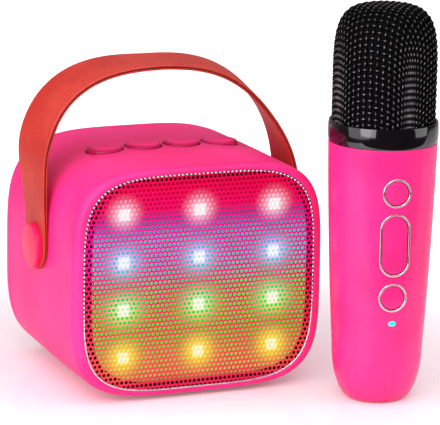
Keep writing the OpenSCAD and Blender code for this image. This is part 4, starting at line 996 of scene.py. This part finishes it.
def makeGrip():
    outside = [(0, 0), (mic["baseR"] - 0.5, 0)]
    for t in arc(20):
        outside.append((mic["baseR"] + (mic["lowR"] - mic["baseR"]) * math.sin(t), mic["foot"] * (1 - math.cos(t)) + (0.15 if t == 0 else 0)))
    outside += [(gripR(z), z) for z in np.linspace(mic["foot"] + 3, mic["grip"] - 0.25, 24)]
    outside += [(mic["topR"] - 0.12, mic["grip"] - 0.06), (mic["topR"] - 0.4, mic["grip"])]
    inside = [(gripR(z) - mic["wall"], z) for z in np.linspace(mic["grip"], mic["foot"], 10)]
    w = mic["wall"]
    for t in reversed(arc(8)):
        inside.append((mic["baseR"] - w * 0.4 + (mic["lowR"] - mic["baseR"] - w * 0.6) * math.sin(t), w + (mic["foot"] - w) * (1 - math.cos(t))))
    bm = lathe(outside + inside + [(0, w)], 160)
    holes = bmesh.new()
    for z in (micKeys["power"], micKeys["mode"]):
        rod(holes, (0, -faceAt(z) - 2, z), (0, -faceAt(z) + 6, z), micKeys["round"] + 0.05, 64)
    z = micKeys["volume"]
    stadium(holes, micKeys["long"][0] + 0.1, micKeys["long"][1] + 0.1, 8, (0, -faceAt(z) - 2, z), 64)
    stadium(holes, 3.5, 2.3, 6, (0, -gripR(micKeys["light"]) - 2, micKeys["light"]), 32)
    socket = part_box("mic_charge_socket")
    centre = (Vector(socket[0]) + Vector(socket[1])) / 2 / milli
    local = standMic.inverted() @ centre
    plug = bmesh.new()
    stadium(plug, 10.8, 5.1, 8, (0, 0, 0), 48)
    plug.transform(Matrix.Translation((local.x, local.y, 5)) @ Matrix.Rotation(-math.pi / 2, 4, "X"))
    bm = carve(bm, joined(holes, plug))
    return finishPiece("micGrip", bm, "microphone", pinkSatin, ["mic_body"], turn=standMic)


makeGrip()
print("grip made")


def makeBlackGloss():
    made = Finish("black gloss", Specular_IOR_Level=0.8, Coat_Roughness=0.04)
    paintedGlow = made.place.noise(160.0, 4.0)
    dust = made.place.cells(900.0).smooth(0.12, 0.0)
    made.set(Base_Color=paintedGlow.mix(paint(6, 5, 7), paint(14, 11, 14)), Roughness=0.06 + paintedGlow * 0.05 + dust * 0.1, Coat_Weight=0.3)
    made.bump(paintedGlow, 0.05, 0.00002)
    return made


blackGloss = makeBlackGloss()


def makeCollar():
    r, bottom, top = mic["collarR"], mic["grip"], mic["grip"] + mic["collar"]
    profile = [(16.9, bottom - 6), (18.9, bottom - 6), (18.9, bottom), (r - 0.7, bottom)]
    for t in arc(10, -90, 90):
        profile.append((r - 0.7 + 0.7 * abs(math.cos(t)) ** 0.6, (bottom + top) / 2 + (mic["collar"] / 2) * signedPower(math.sin(t), 0.9)))
    profile += [(mic["headR"] + 0.05, top), (mic["headR"] + 0.05, top - 2.4), (16.9, top - 2.4)]
    bm = lathe(profile, 160, closed=True)
    return finishPiece("micCollar", bm, "microphone", blackGloss, ["mic_collar"], turn=standMic, crease=40)


makeCollar()

# ---- woven wire head ----
net = {"edge": 2.38, "wire": 0.33, "weave": 0.42, "reach": 36, "axis": 41.6}
headTop = mic["grip"] + mic["collar"] + mic["head"]
domeBase = headTop - mic["dome"]
netR = mic["headR"] - net["wire"] - net["weave"]
netRise = mic["dome"] - net["wire"] - net["weave"]


def onHead(points):  # the nearest place on the head for each point, seen from the dome's middle
    x, y, z = points[..., 0], points[..., 1], points[..., 2]
    rho = np.hypot(x, y) + 1e-9
    up = np.maximum(z - domeBase, 0.0)
    n = mic["domeSquare"]
    scale = ((rho / netR) ** n + (up / netRise) ** n) ** (-1 / n)
    side = z < domeBase
    radius = np.where(side, netR, rho * scale)
    level = np.where(side, z, domeBase + up * scale)
    return np.stack([x / rho * radius, y / rho * radius, level], -1)


def makeNetNodes():  # one quarter of a net of equal cells laid over the head, from its top down
    count, edge = net["reach"], net["edge"]
    rise = [(0.0, headTop - net["wire"] - net["weave"])]
    for t in arc(600):
        n = mic["domeSquare"]
        rise.append((netR * math.sin(t) ** (2 / n), domeBase + netRise * max(0.0, math.cos(t)) ** (2 / n)))
    rise.append((netR, domeBase - 90))
    radii, levels = np.array(rise).T
    lengths = np.concatenate(([0.0], np.cumsum(np.hypot(np.diff(radii), np.diff(levels)))))
    points = np.zeros((count + 1, count + 1, 3))
    for k in range(count + 1):
        r, z = np.interp(k * edge, lengths, radii), np.interp(k * edge, lengths, levels)
        points[k, 0], points[0, k] = (r, 0, z), (0, r, z)
    for i in range(1, count + 1):
        for j in range(1, count + 1):
            a, b, c = points[i - 1, j], points[i, j - 1], points[i - 1, j - 1]
            p = onHead(a + b - c)
            for turn in range(12):
                for end in (a, b):
                    span = p - end
                    p = p + span * (edge / (np.linalg.norm(span) + 1e-9) - 1) * 0.6
                p = onHead(p)
            points[i, j] = p
    return points


def headNormal(point):
    rho = math.hypot(point[0], point[1])
    up = max(0.0, point[2] - domeBase)
    n = mic["domeSquare"]
    out, rise = (rho / netR) ** (n - 1) / netR, (up / netRise) ** (n - 1) / netRise
    normal = Vector((point[0] / max(rho, 1e-6) * out, point[1] / max(rho, 1e-6) * out, rise))
    return normal.normalized()


def makeNet():
    quarter = makeNetNodes()
    count = net["reach"]
    size = 2 * count + 1
    points = np.zeros((size, size, 3))
    for i in range(size):
        for j in range(size):
            x, y = i - count, j - count
            p = quarter[abs(x), abs(y)]
            points[i, j] = (math.copysign(p[0], x) if x else 0.0, math.copysign(p[1], y) if y else 0.0, p[2])
    floor = mic["grip"] + mic["collar"] - 1.6
    paths = []
    for family in (0, 1):
        for row in range(size):
            path = []
            for k in range(size):
                i, j = (k, row) if family == 0 else (row, k)
                p = points[i, j]
                if p[2] < floor:
                    if len(path) > 3:
                        paths.append(path)
                    path = []
                    continue
                over = 1 if (i + j + family) % 2 else -1
                if path:  # a point between two crossings, on the head's own surface
                    q = points[(k - 1, row) if family == 0 else (row, k - 1)]
                    path.append(Vector(onHead((p + q) / 2)))
                path.append(Vector(p) + headNormal(p) * net["weave"] * over)
            if len(path) > 3:
                paths.append(path)
    print("net wires:", len(paths), "points:", sum(len(p) for p in paths))
    bm = tubes(paths, net["wire"], 1)
    bm.transform(Matrix.Rotation(math.radians(-90 - net["axis"] - mic["turn"]), 4, "Z"))
    rim = tubes([[(netR * math.cos(t), netR * math.sin(t), floor + 0.4) for t in np.linspace(0, math.tau, 128, endpoint=False)]], 0.5, 2, True)
    return finishPiece("micNet", joined(bm, rim), "microphone", netWire, ["mic_mesh"], turn=standMic, crease=80)


def makeNetWire():
    made = Finish("black enamelled wire", Specular_IOR_Level=0.12, Coat_Roughness=0.16)
    wireNoise = made.place.noise(420.0, 3.0)
    x, y, z = made.axes()
    x, y = x * 1000.0 - mic["place"][0], y * 1000.0 - mic["place"][1]
    out = x * x + y * y
    out = out.maths("SQRT", out) / netR
    up = (z * 1000.0 - domeBase) / netRise
    up = up.maths("MAXIMUM", up, 0.0)
    lift = ((out**4.0 + up**4.0) ** 0.25 - 1.0) * netR * (up**4.0 * 0.55 + 1.0)
    paintedCrestLight = lift.smooth(0.42, 0.8)  # painted highlight: only the tops of the crossings are light grey, metallic and shiny, and the rest is painted near black as shade
    made.set(
        Base_Color=paintedCrestLight.mix(paint(5, 4, 5), wireNoise.smooth(0.3, 0.7).mix(paint(96, 92, 96), paint(168, 162, 166))),
        Metallic=paintedCrestLight * 0.8,
        Roughness=0.85 - paintedCrestLight * 0.55,
        Coat_Weight=paintedCrestLight * 0.6,
    )
    made.bump(wireNoise, 0.1, 0.00002)
    return made


netWire = makeNetWire()
makeNet()


def makeFoamFinish():
    made = Finish("black foam", Specular_IOR_Level=0.05)
    pores = made.place.cells(1400.0)
    puff = made.place.noise(300.0, 4.0)
    made.set(Base_Color=pores.smooth(0.1, 0.7).mix(paint(3, 3, 3), paint(16, 15, 17)), Roughness=0.9 - puff * 0.1)
    made.bump(pores + puff * 0.5, 0.8, 0.0003)
    return made


foamFinish = makeFoamFinish()


def makeFoam():
    profile = [(mic["headR"] - 1.3, 109.2), (mic["headR"] - 1.3, domeBase)]
    n = mic["domeSquare"]
    for t in arc(24)[1:]:
        profile.append(((mic["headR"] - 1.3) * math.cos(t) ** (2 / n) if t < 1.57 else 0.0, domeBase + (mic["dome"] - 1.3) * math.sin(t) ** (2 / n)))
    inner = [(r * 0.82, 109.2 + (z - 109.2) * 0.93) for r, z in reversed(profile)]
    bm = lathe(profile + inner[:-1] + [(profile[0][0] * 0.82, 109.2)], 96, closed=False)
    piece = finishPiece("micFoam", bm, "microphone", foamFinish, ["mic_foam"], turn=standMic, crease=60)
    return piece


makeFoam()


def makeGasket():  # the foam ring between the driver and its baffle
    low, high = (Vector(corner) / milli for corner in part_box("driver_gasket"))
    outer, level = (high.x - low.x) / 2, (low.z + high.z) / 2
    ring, cuts = bmesh.new(), bmesh.new()
    rod(ring, (0, low.y, level), (0, high.y, level), outer, 160)
    rims = [e for e in ring.edges if abs(e.verts[0].co.y - e.verts[1].co.y) < 1e-4]
    bmesh.ops.bevel(ring, geom=rims, affect="EDGES", offset=0.35, offset_type="OFFSET", segments=4, profile=0.5, material=-1)
    rod(cuts, (0, low.y - 1, level), (0, high.y + 1, level), outer - 5.9, 160)
    for t in (45, 135, 225, 315):
        x, z = (outer - 3.2) * math.cos(math.radians(t)), (outer - 3.2) * math.sin(math.radians(t))
        rod(cuts, (x, low.y - 1, level + z), (x, high.y + 1, level + z), 1.5, 32)
    piece = finishPiece("driverGasket", carve(ring, cuts), "speaker", foamFinish, ["driver_gasket"], crease=50)
    return piece


makeGasket()
print("microphone head made")


# ---- microphone buttons ----
def keyPrism(z, halfX, halfZ, front, back, edge=0.35):
    bm = bmesh.new()
    stadium(bm, halfX * 2, halfZ * 2, back - front, (0, front, z), 64)
    bmesh.ops.recalc_face_normals(bm, faces=bm.faces)
    rim = [e for e in bm.edges if all(abs(v.co.y - front) < 1e-4 for v in e.verts)]
    bmesh.ops.bevel(bm, geom=rim, affect="EDGES", offset=edge, offset_type="OFFSET", segments=4, profile=0.5, material=-1)
    return bm


def makeBezel(name, spots, halfX, halfZ, node):
    parts = []
    for z in spots:
        f = -faceAt(z)
        w = micKeys["face"]
        outer = keyPrism(z, halfX, halfZ, f, f + micKeys["depth"], 0.36)
        inner = bmesh.new()
        stadium(inner, (halfX - w) * 2, (halfZ - w) * 2, 12, (0, f - 4, z), 64)
        ring = carve(outer, inner)
        lip = [e for e in ring.edges if all(abs(v.co.y - f) < 1e-3 for v in e.verts) and all(math.hypot(v.co.x, max(0, abs(v.co.z - z) - (halfZ - halfX))) < halfX - w + 0.02 for v in e.verts)]
        bmesh.ops.bevel(ring, geom=lip, affect="EDGES", offset=0.34, offset_type="OFFSET", segments=4, profile=0.5, material=-1)
        parts.append(ring)
    return finishPiece(name, joined(*parts), "microphone", bezelChrome, [node], turn=standMic, crease=40)


bezelChrome = Finish("bezel chrome", Metallic=1.0)
bezelMist = bezelChrome.place.noise(500.0, 2.0)
bezelChrome.set(Base_Color=bezelMist.mix(paint(232, 230, 233), paint(253, 252, 253)), Roughness=0.06 + bezelMist * 0.08)
bezelChrome.bump(bezelMist, 0.08, 0.00001)
makeBezel("micRoundBezels", (micKeys["power"], micKeys["mode"]), micKeys["round"], micKeys["round"], "mic_round_bezels")
makeBezel("micVolumeBezel", (micKeys["volume"],), micKeys["long"][0] / 2, micKeys["long"][1] / 2, "mic_volume_bezel")


def strokes(paths, radius):
    return tubes(paths, radius, 2)


def makeKey(name, z, halfX, halfZ, deepest, body_, node, signs):
    front = -faceAt(z) + micKeys["drop"]
    cap = keyPrism(z, halfX, halfZ, front, deepest, 0.5)
    parts = [cap]
    if signs:
        parts.append(strokes([[(x, front + 0.04, z + dz) for x, dz in path] for path in signs], 0.2))
    return finishPiece(name, joined(*parts), body_, pinkSatin, [node], turn=standMic, crease=40)


powerSign = [[(2.0 * math.sin(t), 2.0 * math.cos(t) - 0.2) for t in arc(20, 38, 322)], [(0, 2.3), (0, 0.1)]]
volumeSign = [[(-1.6, 6.6), (1.6, 6.6)], [(0, 8.2), (0, 5.0)], [(-1.5, -6.8), (1.5, -6.8)]]
modeSign = [[(1.6, 1.6), (-1.5, -1.5)], [(0.3, 1.7), (1.7, 1.7), (1.7, 0.3)], [(-2.0, 0.6), (-2.0, -0.8)], [(-0.8, -2.0), (0.6, -2.0)]]
roundHalf = micKeys["round"] - micKeys["face"] - 0.25
makeKey("micPowerButton", micKeys["power"], roundHalf, roundHalf, -15.0, "mic_power", "mic_power_button", powerSign)
makeKey("micModeButton", micKeys["mode"], roundHalf, roundHalf, -15.0, "mic_mode", "mic_mode_button", modeSign)
longX, longZ = (half / 2 - micKeys["face"] - 0.25 for half in micKeys["long"])
makeKey("micVolumeRocker", micKeys["volume"], longX, longZ, -16.0, "mic_volume", "mic_volume_rocker", volumeSign)
print("microphone buttons made")

# ---- finishes of the modelled parts that stay as they are ----


def wear(finish, *names):
    for name in names:
        if not nodes[name].material_slots:
            nodes[name].data.materials.append(finish.material)
        for place in nodes[name].material_slots:
            place.material = finish.material


def glowing(name, colour, dim, strength):
    made = Finish(name, Roughness=0.25, Emission_Strength=strength)
    cloud = made.place.noise(260.0, 2.0)
    made.set(Base_Color=cloud.mix(dim, colour), Emission_Color=cloud.smooth(0.2, 0.8).mix(dim, colour))
    return made


steel = mottled("pressed steel", paint(120, 123, 128), paint(150, 152, 156), 90.0, 1600.0, 0.34, Metallic=1.0)
darkPlastic = mottled("dark moulded plastic", paint(40, 40, 45), paint(54, 54, 60), 60.0, 2200.0, 0.55)
rubber = mottled("foot rubber", paint(48, 48, 52), paint(62, 62, 66), 80.0, 2600.0, 0.8)


def makeIndicator():
    z = micKeys["light"]
    front = -gripR(z) + 0.02
    lens = keyPrism(z, 1.7, 1.1, front, front + 1.6, 0.2)
    made = Finish("lit indicator lens", Roughness=0.3, Emission_Strength=1.0)
    low, high = (Vector(corner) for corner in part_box("mic_indicator"))
    spot = made.place.node("ShaderNodeVectorMath", {"operation": "SUBTRACT"}, n0=made.place, n1=tuple((low + high) / 2))
    far = spot.node("ShaderNodeVectorMath", {"operation": "LENGTH"}, out=1, n0=spot.stretch(0.8, 0.0, 1.25)) * 1000.0
    made.set(Base_Color=far.smooth(1.5, 0.9).mix(paint(190, 40, 110), paint(0, 220, 200)), Emission_Color=far.smooth(1.55, 0.8).mix(paint(60, 0, 30), paint(0, 250, 222)))
    finishPiece("micIndicatorLens", lens, "microphone", made, ["mic_indicator"], turn=standMic, crease=40)


makeIndicator()
wear(glowing("lit lens", paint(255, 250, 235), paint(250, 235, 205), 0.8), "leds", "status_light")
wear(steel, "driver_frame", "driver_top_plate", "driver_yoke", "cover_screws", "baffle_screws", "driver_screws", "board_screws", "strap_retainers", "charge_socket", "card_slot", "mic_charge_socket", "mic_capsule")
wear(darkPlastic, "baffle", "battery_tray", "mic_chassis", "mic_cradle", "aux_socket", "board_components")
wear(rubber, "foot_pad", "driver_surround")
wear(mottled("circuit board", paint(22, 78, 50), paint(34, 102, 64), 240.0, 1500.0, 0.4), "main_board", "button_board", "mic_board")
wear(mottled("white circuit board", paint(222, 222, 218), paint(240, 240, 238), 240.0, 1500.0, 0.4), "led_board")
wear(mottled("ferrite", paint(34, 34, 38), paint(52, 52, 58), 300.0, 2600.0, 0.7), "driver_magnet")
wear(mottled("spider cloth", paint(186, 140, 66), paint(214, 172, 96), 400.0, 1800.0, 0.85), "driver_spider")
wear(mottled("pressed paper", paint(28, 28, 30), paint(46, 45, 48), 200.0, 1500.0, 0.8), "driver_cone", "dust_cap")
wear(mottled("wound copper", paint(168, 96, 40), paint(206, 128, 62), 500.0, 3000.0, 0.3, Metallic=1.0), "driver_coil")
wear(mottled("cell sleeve", paint(36, 92, 160), paint(58, 122, 196), 60.0, 1200.0, 0.35), "battery_cell", "mic_battery")
wear(mottled("switch housing", paint(130, 130, 136), paint(164, 164, 170), 200.0, 1800.0, 0.45), "button_switches", "mic_switches")
wear(mottled("lead jacket", paint(150, 24, 24), paint(186, 40, 36), 200.0, 1800.0, 0.45), "inner_leads")
print("finishes given")


# ---- floor, backdrop and lamps ----
studio = {"tableFront": 0.2, "tableLeft": 0.3, "light": 0.4}


def makeFloor():
    bm = bmesh.new()
    bmesh.ops.create_grid(bm, x_segments=1, y_segments=1, size=6)
    bmesh.ops.translate(bm, vec=(6 - studio["tableLeft"], 6 - studio["tableFront"], 0), verts=bm.verts)
    floor = asObject("floor", bm)
    made = Finish("pale table", Specular_IOR_Level=0.7)
    mist = made.place.noise(4.0, 3.0)
    near = made.place.node("ShaderNodeVectorMath", {"operation": "LENGTH"}, out=1, n0=made.place.stretch(1.0, 1.0, 0.0))
    path = made.place.node("ShaderNodeLightPath", out="Is Camera Ray")
    # painted pink reflection: the table's colour turns pink near the object
    made.set(Base_Color=near.smooth(0.26, 0.1).mix(mist.mix(paint(240, 238, 239), paint(246, 244, 245)), paint(252, 238, 244)), Roughness=0.08 + mist * 0.04)
    made.set(Emission_Color=(path * (near.smooth(0.1, 0.3) * 0.86 + 0.14)).mix((0, 0, 0, 1), (1, 1, 1, 1)), Emission_Strength=1.0)
    floor.data.materials.append(made.material)


def makeWorld(level):  # white where it is seen; in reflections grey behind the object and dim on the camera's side
    world = bpy.data.worlds.new("studio")
    scene.world = world
    world.use_nodes = True
    tree = world.node_tree
    plain = tree.nodes["Background"]
    plain.inputs["Color"].default_value, plain.inputs["Strength"].default_value = (1, 1, 1, 1), level
    shown = tree.nodes.new("ShaderNodeBackground")
    around = Wire(tree, tree.nodes.new("ShaderNodeTexCoord").outputs["Generated"])
    split = around.node("ShaderNodeSeparateXYZ", out=1, Vector=around)
    rays = tree.nodes.new("ShaderNodeLightPath")
    mirrored = Wire(tree, rays.outputs["Is Glossy Ray"])
    room = split.ramp((0.0, (0.04, 0.035, 0.04, 1)), (0.3, (0.06, 0.055, 0.06, 1)), (0.8, (0.2, 0.18, 0.19, 1)), (1.0, (0.3, 0.28, 0.29, 1)))
    shade = mirrored.mix((1, 1, 1, 1), room)
    tree.links.new(shade.socket, shown.inputs["Color"])
    shown.inputs["Strength"].default_value = 1.0
    seen = mirrored + Wire(tree, rays.outputs["Is Camera Ray"]) + Wire(tree, rays.outputs["Is Transmission Ray"])
    blend = tree.nodes.new("ShaderNodeMixShader")
    tree.links.new(seen.socket, blend.inputs[0])
    tree.links.new(plain.outputs[0], blend.inputs[1])
    tree.links.new(shown.outputs[0], blend.inputs[2])
    tree.links.new(blend.outputs[0], tree.nodes["World Output"].inputs["Surface"])


def makeLamp(name, place, aim, width, height_, power, colour=(1, 1, 1)):
    data = bpy.data.lights.new(name, "AREA")
    data.shape, data.size, data.size_y, data.energy = "RECTANGLE", width, height_, power
    data.color = colour
    lamp = bpy.data.objects.new(name, data)
    lamp.location = place
    lamp.rotation_euler = (Vector(aim) - Vector(place)).to_track_quat("-Z", "Y").to_euler()
    scene.collection.objects.link(lamp)


makeFloor()
makeWorld(studio["light"])
makeLamp("left softbox", (-0.66, -0.247, 0.36), (0.0666, -0.0658, 0.07), 0.8, 0.95, 3.2, (1, 0.96, 1))
makeLamp("near softbox", (-0.36, -0.34, 0.17), (-0.02, -0.03, 0.06), 0.3, 0.3, 0.9, (1, 0.96, 1))
makeLamp("right softbox", (0.93, -0.568, 0.45), (0.0666, -0.0658, 0.07), 0.66, 1.2, 4.0)
makeLamp("overhead softbox", (-0.1, -0.3, 1.2), (0.0, 0.0, 0.05), 1.8, 1.8, 12.5)
makeLamp("front softbox", (-0.45, -1.25, 1.0), (0.0, 0.0, 0.05), 0.5, 0.5, 4.6)
print("studio made")
